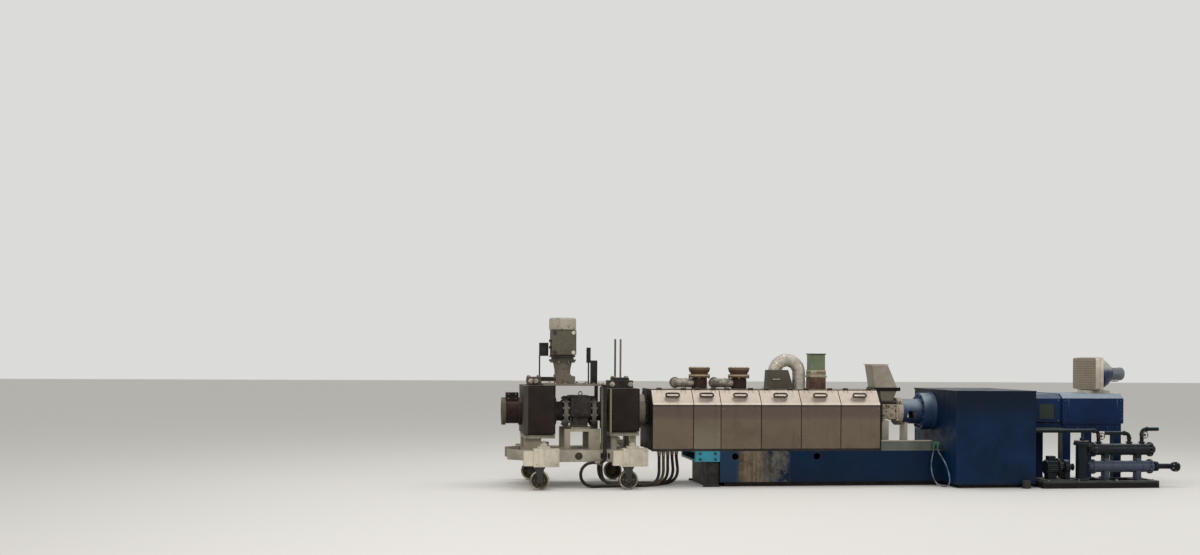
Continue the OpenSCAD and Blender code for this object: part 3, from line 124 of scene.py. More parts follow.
class Finish:
    """A material being built: a principled shader and the nodes that feed it."""

    def __init__(self, name, metallic=0.0, specular=0.5):
        self.material = bpy.data.materials.new(name)
        self.material.use_nodes = True
        self.tree = self.material.node_tree
        self.tree.nodes.clear()
        self.shader = self.tree.nodes.new("ShaderNodeBsdfPrincipled")
        output = self.tree.nodes.new("ShaderNodeOutputMaterial")
        self.tree.links.new(self.shader.outputs[0], output.inputs[0])
        self.set("Metallic", metallic)
        self.set("Specular IOR Level", specular)
        self.place = self.add("ShaderNodeTexCoord", out="Object")
        split = self.add("ShaderNodeSeparateXYZ", {0: self.place}).socket.node
        self.x, self.y, self.z = (Value(self, socket) for socket in split.outputs)

    def add(self, kind, sockets=(), out=0, **settings):
        """A node of this kind, its settings first and then its sockets; gives one of its outputs."""
        node = self.tree.nodes.new(kind)
        for key, value in settings.items():
            setattr(node, key, value)
        for key, value in dict(sockets).items():
            self.feed(node.inputs[key], value)
        return Value(self, node.outputs[out])

    def feed(self, socket, value):
        if isinstance(value, Value):
            self.tree.links.new(value.socket, socket)
        else:
            socket.default_value = value

    def set(self, name, value):
        self.feed(self.shader.inputs[name], value)

    def mix(self, factor, a, b):
        """Colour a where factor is 0, colour b where it is 1."""
        return self.add("ShaderNodeMix", {0: factor, 6: a, 7: b}, 2, data_type="RGBA")

    def noise(self, scale, detail, rough=0.55, stretch=None):
        """Noise with scale features a metre; stretch multiplies X, Y and Z before it."""
        where = self.place
        if stretch:
            where = self.add("ShaderNodeVectorMath", {0: where, 1: stretch}, operation="MULTIPLY")
        sockets = {"Vector": where, "Scale": scale, "Detail": detail, "Roughness": rough}
        return self.add("ShaderNodeTexNoise", sockets)

    def normal(self):
        return self.add("ShaderNodeNewGeometry", out=1)

    def facing_up(self):
        """1 on faces that look up, 0 on walls, -1 on undersides."""
        return self.add("ShaderNodeSeparateXYZ", {0: self.normal()}, 2)

    def rounded(self, radius):
        """The surface direction with its edges rounded to this radius."""
        return self.add("ShaderNodeBevel", {"Radius": radius}, samples=4)

    def edges(self):
        """About 1 on sharp edges, 0 on flat faces: how far a rounded direction leans from the true one."""
        pair = {0: self.rounded(0.006), 1: self.normal()}
        lean = self.add("ShaderNodeVectorMath", pair, 1, operation="DOT_PRODUCT")
        return ((1.0 - lean) * 6.0).clamped()

    def relief(self, height, distance, strength, rounding=0.003):
        """Bumps of this height pattern, on rounded edges."""
        sockets = {"Height": height, "Distance": distance, "Strength": strength, "Normal": self.rounded(rounding)}
        self.set("Normal", self.add("ShaderNodeBump", sockets))


def inside(f, soft=0.003, **spans):
    """1 inside the given ranges of x, y and z, 0 outside them."""
    mask = 1.0
    for axis, (start, end) in spans.items():
        place = getattr(f, axis)
        mask = mask * (place.over(start, soft) * place.under(end, soft))
    return mask


def beyond(f, radius, across):
    """1 further than radius from a line; across pairs each axis square to the line with its place on it."""
    (a, at_a), (b, at_b) = across.items()
    away = ((getattr(f, a) - at_a) ** 2.0 + (getattr(f, b) - at_b) ** 2.0) ** 0.5
    return away.over(radius, 0.002)


# ---------------------------------------------------------------- kinds of finish

DUST = linear(0.60, 0.57, 0.51)
# blue-grey dust; on the oil unit and the lantern this colour is also a painted highlight on their tops
BLUE_DUST_AND_SHEEN = linear(0.50, 0.54, 0.57)
GRIME = linear(0.13, 0.11, 0.09)
RUST = linear(0.33, 0.20, 0.13)
BARE = linear(0.46, 0.43, 0.39)


def zoned(f, tone, zones):
    """The tone with other colours in its zones; each zone is a colour and a function that gives its mask."""
    for colour, mask in zones:
        tone = f.mix(mask(f), tone, linear(*colour))
    return tone


def weathered(f, colour, dust=0.35, grime=0.5, streaks=0.25, wear=0.5,
              settles=(0.5, 0.95), drift=(0.1, 0.8), dust_colour=DUST):
    """Adds what years in a works leave on a surface: runs down the walls, dirt low down, dust on top, worn edges.
    Where a finish asks for it, the pale on top is also a painted highlight.
    """
    streak = f.noise(1.0, 4.0, 0.6, stretch=(14.0, 14.0, 1.4)).step(0.52, 0.75)
    colour = f.mix(streak * streaks, colour, GRIME)
    patch = f.noise(3.5, 5.0, 0.6).step(0.55, 0.8)
    colour = f.mix(patch * (grime * 0.5), colour, GRIME)
    low_down = f.z.below(0.02, 0.25) * f.noise(9.0, 4.0).step(0.3, 0.7)
    colour = f.mix(low_down * grime, colour, GRIME)
    # dust on upward faces; with the oil unit's and the lantern's settings this pale is also a painted highlight on
    # their tops
    settled = f.facing_up().step(*settles) * f.noise(5.0, 4.0, 0.6).step(*drift)
    colour = f.mix(settled * dust, colour, dust_colour)
    if wear:
        worn = f.edges() * f.noise(38.0, 4.0, 0.7).step(0.46, 0.62)
        colour = f.mix((worn * wear).clamped(), colour, BARE)
    return colour


def paint(name, colour, gloss=0.4, chips=0.0, chip_colour=RUST, zones=(), specular=0.5, **wear):
    """Machine enamel: slight unevenness of tone, orange peel, chips and wear."""
    f = Finish(name, specular=specular)
    tone = f.mix(f.noise(2.2, 5.0, 0.6).step(0.3, 0.7), shade(colour, 0.84), shade(colour, 1.12, 0.012))
    surface = weathered(f, zoned(f, tone, zones), **wear)
    rough = gloss + f.noise(7.0, 4.0).step(0.35, 0.75) * 0.22
    if chips:
        chip = f.noise(21.0, 6.0, 0.72).step(0.66 - 0.1 * chips, 0.69 - 0.1 * chips)
        surface = f.mix(chip, surface, chip_colour)
        rough = rough + chip * 0.25
    f.set("Base Color", surface)
    f.set("Roughness", rough)
    f.relief(f.noise(160.0, 2.0), distance=0.0006, strength=0.35)
    return f.material


def steel_sheet(name, colour, roughness=0.34, stain=0.3, dust=0.18, zones=()):
    """Brushed stainless sheet: fine grain along X, cloudy stains and runs."""
    f = Finish(name, metallic=0.75)
    grain = f.noise(14.0, 3.0, 0.6, stretch=(2.0, 90.0, 90.0))
    tone = f.mix(grain.step(0.3, 0.7), shade(colour, 0.88), shade(colour, 1.08))
    cloud = f.noise(1.7, 6.0, 0.62).step(0.42, 0.72)
    tone = zoned(f, f.mix(cloud * stain, tone, shade(colour, 0.62)), zones)
    f.set("Base Color", weathered(f, tone, dust=dust, grime=0.25, streaks=0.18, wear=0.0))
    f.set("Roughness", roughness + cloud * 0.16 + grain * 0.1)
    f.relief(grain, distance=0.0004, strength=0.2, rounding=0.004)
    return f.material


def lagging(name, colour, zones=()):
    """Insulating jacket in dark sheet: soft dents, scorched tone, pale scuffs at the edges."""
    f = Finish(name, specular=0.12)
    tone = f.mix(f.noise(4.0, 6.0, 0.65).step(0.35, 0.75), shade(colour), shade(colour, 1.25))
    f.set("Base Color", weathered(f, zoned(f, tone, zones), dust=0.4, grime=0.3, streaks=0.2))
    f.set("Roughness", 0.52 + f.noise(9.0, 4.0).step(0.3, 0.8) * 0.3)
    f.relief(f.noise(3.2, 3.0, 0.5), distance=0.02, strength=0.35, rounding=0.006)
    return f.material


def cast_iron(name, colour, roughness=0.6, metallic=0.25, rust=0.4, zones=()):
    """Dark heat-worn iron with oil, dust and a little rust."""
    f = Finish(name, metallic=metallic, specular=0.25)
    tone = f.mix(f.noise(12.0, 6.0, 0.7).step(0.35, 0.7), shade(colour), shade(colour, 1.7))
    tone = f.mix(f.noise(6.0, 5.0, 0.7).step(0.62, 0.8) * rust, tone, RUST)
    f.set("Base Color", weathered(f, zoned(f, tone, zones), dust=0.45, grime=0.3, streaks=0.1, wear=0.6))
    f.set("Roughness", roughness + f.noise(10.0, 4.0).step(0.4, 0.8) * 0.25)
    f.relief(f.noise(90.0, 4.0, 0.6), distance=0.0016, strength=0.5)
    return f.material


def foil_wrap(name, colour, creased, metallic):
    """Thin aluminium wrapping over lagging: creases round the pipe, sharper the higher creased is, with painted shade
    in the crease hollows, darker the higher creased is.
    """
    f = Finish(name, metallic=metallic)
    crease = f.noise(16.0, 6.0, 0.7)
    # the hollows of the crease pattern are painted darker: painted shade
    tone = f.mix(crease.step(0.35, 0.7), shade(colour, 1.0 - 0.5 * creased), shade(colour))
    f.set("Base Color", weathered(f, tone, dust=0.3, grime=0.35, streaks=0.1, wear=0.0))
    f.set("Roughness", 0.34 + crease * 0.25)
    f.relief(crease, distance=0.012, strength=creased)
    return f.material


def hose_cover(name, colour):
    """Rubber with a wrapped cloth impression and dust."""
    f = Finish(name, specular=0.12)
    tone = f.mix(f.noise(8.0, 4.0).step(0.4, 0.75), shade(colour), shade(colour, 1.7, 0.03))
    f.set("Base Color", weathered(f, tone, dust=0.5, grime=0.0, streaks=0.0, wear=0.0))
    f.set("Roughness", 0.55 + f.noise(12.0, 3.0) * 0.2)
    f.relief(f.noise(220.0, 2.0), distance=0.0006, strength=0.4, rounding=0.001)
    return f.material


def bed_enamel(name, colour, faded, stripped):
    """The bed's blue: on the front dulled over one stretch of X, and over the next peeled to primer and grey."""
    f = Finish(name, specular=0.12)
    tone = f.mix(f.noise(2.2, 5.0, 0.6).step(0.3, 0.7), shade(colour, 0.8), shade(colour))
    front = f.y.below(-0.3, -0.25)
    tone = f.mix(inside(f, 0.03, x=faded) * front * 0.8, tone, linear(0.12, 0.20, 0.29))
    runs = f.noise(1.0, 5.0, 0.7, stretch=(22.0, 22.0, 1.1)).step(0.42, 0.6)
    tan = f.mix(f.noise(5.0, 6.0, 0.7).step(0.42, 0.6), linear(0.44, 0.39, 0.32), linear(0.33, 0.28, 0.225))
    grey = f.mix(f.noise(7.0, 6.0, 0.7).step(0.4, 0.6), linear(0.36, 0.36, 0.34), linear(0.24, 0.24, 0.23))
    middle = sum(stripped) / 2
    bare = f.mix(f.x.over(middle, 0.08), tan, grey)
    bare = f.mix(runs * 0.4, bare, linear(0.17, 0.15, 0.13))
    bare = f.mix(f.noise(11.0, 5.0, 0.7).step(0.56, 0.66) * 0.7, bare, linear(0.27, 0.18, 0.13))
    peeled = inside(f, 0.04, x=stripped) * front * f.noise(4.0, 6.0, 0.7).step(0.34, 0.44)
    tone = f.mix(peeled, tone, bare)
    f.set("Base Color", weathered(f, tone, dust=0.5, grime=0.3, streaks=0.12, wear=0.35, drift=(-0.4, 1.0)))
    f.set("Roughness", 0.42 + peeled * 0.3 + f.noise(7.0, 4.0).step(0.35, 0.75) * 0.15)
    f.relief(f.noise(30.0, 4.0) - peeled * 0.6, distance=0.0012, strength=0.5)
    return f.material


# ---------------------------------------------------------------- places on the machine


def low(name):
    return np.array(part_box(name)[0])


def high(name):
    return np.array(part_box(name)[1])


def centre_of(name):
    return (low(name) + high(name)) / 2


def body_of(name):
    """The body that carries a lid's or a wheel's node."""
    return name.split("_", 1)[1]


SCREW_Z = centre_of("adapter_ring")[2]
# a lid slopes from its hinge on the ridge at the deck's edge down to the shoulder over the panels
PANEL_TOP = high("front_panels")[2]
LID_OUT, LID_DROP = 0.16, 0.184
SHOULDER_Z = PANEL_TOP + 0.02
DECK_Z = SHOULDER_Z + LID_DROP
RIDGE_Y = -0.29
SLOPE = np.array([0.0, -LID_OUT, -LID_DROP]) / math.hypot(LID_OUT, LID_DROP)
SLOPE_OUT = np.array([0.0, SLOPE[2], -SLOPE[1]])
# the joints between the panels, which are also those between the lids
SEAMS = (-2.39, -1.88, -1.535, -1.025, -0.515, -0.005, 0.505)
PORT_XS = (low("vent_ports")[0] + 0.135, high("vent_ports")[0] - 0.135)
PORT_TOP = high("vent_ports")[2]
PORT_FLANGE = PORT_TOP - 0.13
CHUTE_TOP = high("feed_chute")[2]
PUMP_X0 = low("melt_pump")[0]
MOTOR_X = centre_of("pump_motor")[0]
MOTOR_TOP = high("pump_motor")[2]
MOTOR_BASE = MOTOR_TOP - 0.54
MOTOR_RIM = MOTOR_BASE + 0.072
FAN_COVER = MOTOR_TOP - 0.148
PLATE_TOP = high("pump_top_plate")[2]
GEARBOX_0, GEARBOX_1 = low("gearbox_housing"), high("gearbox_housing")
# how far the lagged blocks' walls and the carriage's beams stand from the middle; the coolers' ends and axes
LAGGED_Y = 0.4
BEAM_Y = 0.45
COOLER_0, COOLER_1, COOLER_Y = 3.15, 3.94, -0.77


# ---------------------------------------------------------------- zones of the finishes


def off_the_lid(f):
    """1 on what stands out from a lid's slope below its hinges: distance along the slope's outward direction."""
    out = (f.y - RIDGE_Y) * float(SLOPE_OUT[1]) + (f.z - DECK_Z) * float(SLOPE_OUT[2])
    return out.step(0.010, 0.016) * f.z.below(DECK_Z - 0.05, DECK_Z - 0.045)


def sheet_seams(f):
    """1 within 5 mm of the seams, where shade is painted along the folded edges."""
    return sum(inside(f, 0.001, x=(x - 0.005, x + 0.005)) for x in SEAMS[1:-1])


def hinge_knuckles(f):
    """1 on what stands up from the deck along its hinges."""
    return f.z.over(DECK_Z + 0.004) * f.y.below(RIDGE_Y + 0.04, RIDGE_Y + 0.045)


def jacking_feet(f):
    """1 on the gearbox's jacking feet, which stand out beyond its walls."""
    walls = inside(f, 0.001, y=(GEARBOX_0[1] + 0.1015, GEARBOX_1[1] - 0.1015))
    return (1.0 - walls) * f.z.under(0.101)


def pump_flanges(f):
    """1 on the rims of the melt pump's two wide flanges."""
    return beyond(f, 0.182, {"y": 0.0, "z": SCREW_Z}) * inside(f, 0.0025, y=(-0.1975, 0.1975))


def port_rims(f):
    """1 on the pale lines of the vent ports: a middle flange's upper edge, a lid's top edge and the line below it."""
    rims = beyond(f, 0.127, {"x": PORT_XS[0], "y": 0.0}) * beyond(f, 0.127, {"x": PORT_XS[1], "y": 0.0})
    flange = inside(f, 0.001, z=(PORT_TOP - 0.112, PORT_TOP - 0.094))
    line = inside(f, 0.0015, z=(PORT_TOP - 0.027, PORT_TOP - 0.021))
    return (rims * (f.z.over(PORT_TOP - 0.0085) + flange + line * 0.6)).clamped()


def motor_bosses(f):
    """1 on the bosses that stand out from the pump motor's terminal box."""
    return f.y.under(-0.201, 0.0005)


def fan_slots(f):
    """1 in the round slots of the fan cover's top: stripes by distance from the motor's axis, cut by six spokes."""
    away = ((f.x - MOTOR_X) ** 2.0 + f.y**2.0) ** 0.5
    stripes = (away * (2 * math.pi / 0.018)).sine().step(0.1, 0.4)
    field = away.over(0.025) * away.under(0.125)
    turn = f.y.maths("ARCTAN2", f.y, f.x - MOTOR_X)
    spokes = (turn * 6.0).sine().step(-0.97, -0.93)
    return stripes * field * spokes * f.z.over(MOTOR_TOP - 0.0006, 0.0002)


# ---------------------------------------------------------------- finishes of the nodes and the small parts

BLACK = (0.07, 0.065, 0.06)
BLUE = (0.01, 0.115, 0.225)
MOTOR_BLUE = (0.02, 0.12, 0.26)
CREAM = (0.74, 0.71, 0.63)
PALE = (0.63, 0.58, 0.48)
OIL_GREEN = (0.03, 0.075, 0.095)
# painted shade in the joints: along the lids' seams and along their top edge at the deck
SEAM_SHADE = (0.24, 0.20, 0.17)
# the oil unit's dust on upward faces, strong and pale enough to be also a painted highlight along the tops of its
# pipes and coolers
OIL_DUST_AND_SHEEN = dict(dust=0.8, settles=(0.7, 1.0), drift=(-0.3, 0.7), dust_colour=BLUE_DUST_AND_SHEEN)


def dress(names, finish):
    """Gives this finish to the CAD nodes whose names start so."""
    for name, node in NODES.items():
        if name.startswith(names):
            for material_slot in node.material_slots:
                material_slot.material = finish
    return finish


dress("", cast_iron("dark_iron", (0.115, 0.103, 0.098)))

# covers
lid_steel = dress("barrel_lid", steel_sheet(
    "lid_steel", (0.71, 0.66, 0.61), stain=0.12,
    zones=[
        ((0.26, 0.22, 0.18), off_the_lid),
        # a pale strip just above the shoulder: a painted highlight along the lid's fold
        ((0.80, 0.76, 0.71), lambda f: inside(f, z=(SHOULDER_Z + 0.002, SHOULDER_Z + 0.012))),
        # near black below the shoulder: the painted shadow line under the lid's lower lip
        ((0.12, 0.10, 0.09), lambda f: f.z.under(SHOULDER_Z - 0.008)),
        # the seam colour on the lids' side edges and on their top edge at the deck: painted shade in the joints
        (SEAM_SHADE, sheet_seams),
        (SEAM_SHADE, lambda f: f.z.step(DECK_Z - 0.011, DECK_Z - 0.008)),
    ]))
dress(("front_panels", "rear_panels"), steel_sheet(
    "panel_steel", (0.43, 0.38, 0.32), roughness=0.42, stain=0.45,
    zones=[
        ((0.46, 0.425, 0.37), lambda f: inside(f, x=SEAMS[1:3]) * f.z.below(0.5, 0.95)),
        ((0.375, 0.33, 0.28), lambda f: inside(f, x=SEAMS[3:6:2]) * f.noise(1.3, 3.0).step(0.35, 0.6)),
        ((0.375, 0.32, 0.295), lambda f: f.z.step(0.80, 0.90)),
        # near black at the front panels' seams: painted shade in the joints
        ((0.12, 0.10, 0.085), lambda f: sheet_seams(f) * f.y.below(-0.40, -0.39)),
    ]))
# the end panels are painted near black: painted shade for the covers' ends, which lie in shadow
dress("end_panels", paint("dark_sheet", (0.09, 0.08, 0.07), gloss=0.5, specular=0.12))
dress("top_deck", steel_sheet(
    "deck_steel", (0.62, 0.58, 0.52), roughness=0.45, stain=0.4, dust=0.5,
    zones=[((0.30, 0.26, 0.22), hinge_knuckles)]))

# barrel and feed
dress("barrel_pedestals", paint("cream_enamel", CREAM, gloss=0.45, chips=0.05, streaks=0.3))
dress("vent_ports", cast_iron(
    "port_iron", (0.15, 0.10, 0.08), rust=0.1,
    zones=[
        ((0.31, 0.235, 0.175), lambda f: f.z.over(PORT_FLANGE)),
        (PALE, port_rims),
    ]))
dress("vent_ducts", foil_wrap("duct_foil", (0.66, 0.63, 0.57), creased=0.8, metallic=0.55))
dress("fume_duct", foil_wrap("fume_foil", (0.73, 0.70, 0.65), creased=0.35, metallic=0.35))
dress("fume_hood", paint("hood_paint", (0.25, 0.225, 0.185), gloss=0.5, specular=0.25, dust=0.2))
dress("stuffer_housing", cast_iron(
    "stuffer_iron", (0.27, 0.205, 0.17), rust=0.1,
    zones=[((0.60, 0.57, 0.49), lambda f: f.z.over(1.35))]))
dress("stuffer_motor", paint(
    "stuffer_enamel", (0.35, 0.395, 0.28), gloss=0.45,
    zones=[
        (PALE, lambda f: f.z.under(1.442)),
        ((0.40, 0.345, 0.26), lambda f: inside(f, 0.004, z=(1.385, 1.425)) * f.noise(14.0, 4.0).step(0.42, 0.56)),
        ((0.13, 0.14, 0.12), lambda f: f.z.over(1.64)),
    ]))
dress("feed_barrel", paint(
    "feed_enamel", (0.60, 0.55, 0.47), gloss=0.5, chips=1.2, chip_colour=linear(0.25, 0.225, 0.16), grime=0.7))
dress("feed_funnel", steel_sheet(
    "funnel_steel", (0.48, 0.45, 0.40), stain=0.5,
    zones=[(BLACK, lambda f: inside(f, z=(1.175, 1.225))), (BLACK, lambda f: inside(f, z=(1.005, 1.0375)))]))
dress("feed_chute", steel_sheet(
    "chute_steel", (0.62, 0.585, 0.53), roughness=0.4, stain=0.6,
    zones=[((0.74, 0.70, 0.64), lambda f: f.z.step(CHUTE_TOP - 0.03, CHUTE_TOP - 0.01))]))

# bed
dress("bed_frame", bed_enamel("bed_blue", BLUE, faded=(-1.56, -1.31), stripped=(-1.31, -0.68)))
dress("bed_end_bracket", paint("turquoise_enamel", (0.10, 0.46, 0.53), gloss=0.42))
dress("bed_channel", paint(
    "trough_enamel", (0.29, 0.305, 0.28), gloss=0.45,
    zones=[
        ((0.66, 0.64, 0.57), lambda f: f.z.step(0.555, 0.56)),
        ((0.20, 0.42, 0.28), lambda f: f.x.step(1.19, 1.2)),
    ]))

# drive
# the pale over the lantern's upper half is dust and a painted highlight
dress("drive_lantern", paint(
    "lantern_enamel", (0.07, 0.19, 0.34), dust=0.9, settles=(-0.1, 0.75), dust_colour=BLUE_DUST_AND_SHEEN,
    zones=[(CREAM, lambda f: inside(f, x=(0.85, 1.02), z=(0.40, 0.775)))]))
dress("gearbox_housing", paint(
    "gearbox_enamel", BLUE, specular=0.12, drift=(-0.5, 1.1), dust_colour=BLUE_DUST_AND_SHEEN, grime=0.3, streaks=0.1,
    zones=[((0.02, 0.085, 0.155), lambda f: f.z.step(0.78, 1.08)), ((0.22, 0.21, 0.19), jacking_feet)]))
dress("coupling_guard", paint(
    "guard_enamel", (0.035, 0.13, 0.26), specular=0.12, drift=(-0.4, 1.0), dust=0.8, dust_colour=BLUE_DUST_AND_SHEEN,
    zones=[((0.20, 0.23, 0.19),
            lambda f: inside(f, 0.001, x=(2.626, 2.829), y=(-0.4125, -0.40), z=(0.839, 1.031)))]))
motor_enamel = dress("main_motor", paint(
    "motor_enamel", MOTOR_BLUE, gloss=0.36, specular=0.12, dust=1.0, settles=(0.05, 0.35),
    dust_colour=BLUE_DUST_AND_SHEEN, streaks=0.1,
    zones=[((0.53, 0.575, 0.625), lambda f: f.facing_up().step(0.25, 0.45) * f.z.step(1.08, 1.10))]))
dress("motor_frame", paint("frame_enamel", MOTOR_BLUE, chips=0.1, specular=0.12))
filter_enamel = dress("blower_box", paint(
    "filter_enamel", (0.72, 0.69, 0.62), zones=[((0.50, 0.45, 0.38), lambda f: f.x.below(3.4465, 3.448))]))
fan_enamel = dress("blower_fan", paint(
    "fan_enamel", MOTOR_BLUE,
    zones=[
        # a silver-white top above 1.45 m on the blue scroll and motor: a painted highlight
        ((0.62, 0.62, 0.60), lambda f: f.z.step(1.43, 1.50)),
        ((0.36, 0.38, 0.40), lambda f: f.x.over(3.8, 0.002)),
    ]))

# oil unit
# the skid is near black below 62 mm: a painted shadow under its top rail, so the solid beam reads as a thin rail
dress("oil_skid", paint(
    "skid_enamel", (0.22, 0.24, 0.23), gloss=0.5, specular=0.15,
    zones=[(BLACK, lambda f: f.z.below(0.062, 0.072))]))
# the pale on top of the oil unit's pipes and coolers is dust and a painted highlight
oil_enamel = dress(("oil_filter", "oil_pump", "oil_pipes"), paint(
    "oil_enamel", OIL_GREEN, gloss=0.34, specular=0.15, **OIL_DUST_AND_SHEEN))
cooler_enamel = dress("oil_coolers", paint(
    "cooler_enamel", OIL_GREEN, gloss=0.34, specular=0.2, **OIL_DUST_AND_SHEEN,
    zones=[((0.24, 0.27, 0.335), lambda f: f.z.below(0.355, 0.365))]))

# melt end
dress("die_head", cast_iron(
    "die_iron", (0.125, 0.085, 0.065),
    zones=[
        ((0.33, 0.29, 0.25), lambda f: f.x.under(-4.168)),
        (BLACK, lambda f: f.z.step(1.07, 1.09)),
    ]))
dress(("screen_changer", "starting_valve"), lagging(
    "block_lagging", (0.115, 0.088, 0.08),
    zones=[
        ((0.50, 0.46, 0.40), lambda f: f.y.under(-LAGGED_Y - 0.0015, 0.0005)),
        ((0.27, 0.25, 0.215), lambda f: inside(f, 0.006, x=(-3.97, -3.915))),
    ]))
dress("melt_pump", cast_iron("pump_iron", (0.15, 0.135, 0.125), zones=[((0.47, 0.45, 0.41), pump_flanges)]))
dress("adapter_ring", steel_sheet("ring_steel", (0.50, 0.465, 0.42), roughness=0.4, stain=0.5))
dress("pump_top_plate", steel_sheet("plate_steel", (0.46, 0.43, 0.38), roughness=0.45, stain=0.5, dust=0.5))
dress("pump_motor", paint(
    "pump_motor_enamel", (0.265, 0.24, 0.19), gloss=0.48, chips=0.75, chip_colour=linear(0.18, 0.16, 0.125),
    zones=[
        ((0.39, 0.36, 0.31), lambda f: f.z.under(MOTOR_BASE)),
        ((0.20, 0.185, 0.165), lambda f: inside(f, z=(MOTOR_BASE, MOTOR_RIM))),
        ((0.62, 0.595, 0.53), lambda f: f.z.over(FAN_COVER)),
        ((0.11, 0.10, 0.085), motor_bosses),
        (CREAM, lambda f: motor_bosses(f) * f.x.over(MOTOR_X)),
        (BLACK, fan_slots),
    ]))
dress("melt_supports", paint("support_enamel", (0.55, 0.52, 0.45), gloss=0.5, chips=0.15, streaks=0.35, grime=0.6))
dress("melt_sensors", cast_iron(
    "sensor_iron", (0.12, 0.11, 0.105),
    zones=[
        ((0.50, 0.46, 0.40), lambda f: inside(f, x=(-3.6, -3.2))),
        ((0.45, 0.42, 0.37), lambda f: f.x.step(-2.8, -2.79)),
    ]))
dress("clamp_heads", cast_iron(
    "clamp_iron", (0.14, 0.125, 0.11),
    zones=[((0.52, 0.49, 0.43), lambda f: 1.0 - inside(f, y=(-0.161, 0.161)))]))

# carriage
dress("carriage_frame", paint(
    "beam_enamel", (0.60, 0.575, 0.51), gloss=0.5, chips=0.1, streaks=0.4,
    zones=[(BLACK,
            lambda f: inside(f, 0.001, x=(-3.4, -2.8), y=(0.001 - BEAM_Y, 0.035 - BEAM_Y), z=(0.33, 0.44)))]))
box_enamel = dress("carriage_boxes", paint(
    "box_enamel", (0.70, 0.67, 0.60), gloss=0.42,
    zones=[((0.13, 0.12, 0.105), lambda f: f.z.under(0.278))]))
dress("carriage_wheel", cast_iron("wheel_brown", (0.15, 0.125, 0.105), metallic=0.0))

# small parts
bolt_steel = cast_iron("bolt_steel", (0.42, 0.39, 0.35), roughness=0.42, metallic=0.7)
bright_bolt = cast_iron("bright_bolt", (0.50, 0.47, 0.42), roughness=0.45, metallic=0.5)
dark_bolt = cast_iron("dark_bolt", (0.17, 0.155, 0.14), roughness=0.5, metallic=0.5)
pull_iron = cast_iron("pull_iron", (0.17, 0.15, 0.13), roughness=0.45, metallic=0.5)
blue_bolt = paint("blue_bolt", (0.07, 0.18, 0.32), specular=0.12, wear=0.8)
drain_green = paint("drain_green", (0.17, 0.40, 0.25))
skin_lagging = lagging("skin_lagging", (0.13, 0.10, 0.09))
pale_metal = steel_sheet("pale_metal", (0.74, 0.71, 0.66), roughness=0.36, stain=0.25)
black_rubber = hose_cover("black_rubber", (0.15, 0.125, 0.11))
olive_hose = hose_cover("olive_hose", (0.24, 0.21, 0.13))
grey_hose = hose_cover("grey_hose", (0.26, 0.30, 0.33))
tyre_grey = hose_cover("tyre_grey", (0.45, 0.42, 0.375))


# ---------------------------------------------------------------- shapes


def side_axes(axis):
    """Three unit vectors as columns: two across the axis and the axis itself."""
    axis = np.array(axis, float) / np.linalg.norm(axis)
    near = np.array([0.0, 0.0, 1.0]) if abs(axis[2]) < 0.9 else np.array([0.0, 1.0, 0.0])
    across = np.cross(near, axis)
    across /= np.linalg.norm(across)
    return np.stack([across, np.cross(axis, across), axis], axis=1)


def circle(radius, sides, start=0.0):
    """Points evenly round a circle: (r cos a, r sin a)."""
    a = np.linspace(0, 2 * np.pi, sides, endpoint=False) + start
    return radius * np.stack([np.cos(a), np.sin(a)], -1)


def raised(outline, z=0.0):
    """A flat outline as points at height z."""
    return np.column_stack([outline, np.full(len(outline), z)])


def skin(rings, caps=True):
    """Points and faces over an (m, n, 3) array of closed rings: quads between neighbours and a cap on each end."""
    m, n = rings.shape[:2]
    i, j = np.meshgrid(np.arange(m - 1), np.arange(n), indexing="ij")
    k = (j + 1) % n
    faces = [np.stack([i * n + j, i * n + k, (i + 1) * n + k, (i + 1) * n + j], -1).reshape(-1, 4)]
    if caps:
        faces.append(np.arange(n)[None, ::-1])
        faces.append(np.arange((m - 1) * n, m * n)[None])
    return rings.reshape(-1, 3), faces


def turned(profile, sides=24):
    """A profile of (radius, height) pairs turned round Z: x = r cos a, y = r sin a, z = h, capped at both ends."""
    return skin(np.array([raised(circle(r, sides), h) for r, h in profile]))


def band(inner, outer, half, lip, sides=40):
    """A hoop round Z, 2 half wide, that slopes down over its lip at each edge."""
    return turned([(inner, -half), (outer, lip - half), (outer, half - lip), (inner, half)], sides)


def round_outline(width, height, corner, steps):
    """Outline of a rectangle with round corners: a quarter circle round each corner's centre."""
    t = np.linspace(0, np.pi / 2, steps)
    a = np.concatenate([t, t + np.pi / 2, t + np.pi, t + 1.5 * np.pi])
    sx = np.repeat([1, -1, -1, 1], steps) * (width / 2 - corner)
    sy = np.repeat([1, 1, -1, -1], steps) * (height / 2 - corner)
    return np.stack([sx + corner * np.cos(a), sy + corner * np.sin(a)], -1)


def slab(width, height, thick, corner, edge, steps=4):
    """A plate lying in XY with round corners and an eased upper edge: outlines drawn in towards the top."""
    levels = [(0.0, 0.0), (0.0, thick - edge), (0.3 * edge, thick - 0.3 * edge), (edge, thick)]
    return skin(np.array([
        raised(round_outline(width - 2 * inset, height - 2 * inset, max(corner - inset, 0.0004), steps), z)
        for inset, z in levels]))


def joined(*shapes):
    """Several shapes as one."""
    points, faces, start = [], [], 0
    for p, f in shapes:
        points.append(p)
        faces += [g + start for g in f]
        start += len(p)
    return np.concatenate(points), faces


def moved(shape, place=(0, 0, 0), out=UP, up=None):
    """A shape with its Z turned to out, and its Y to up where one is given, then put at place."""
    points, faces = shape
    if up is None:
        turn = side_axes(out)
    else:
        out = np.array(out, float) / np.linalg.norm(out)
        right = np.cross(up, out)
        right /= np.linalg.norm(right)
        turn = np.stack([right, np.cross(out, right), out], axis=1)
    return points @ turn.T + np.array(place, float), faces


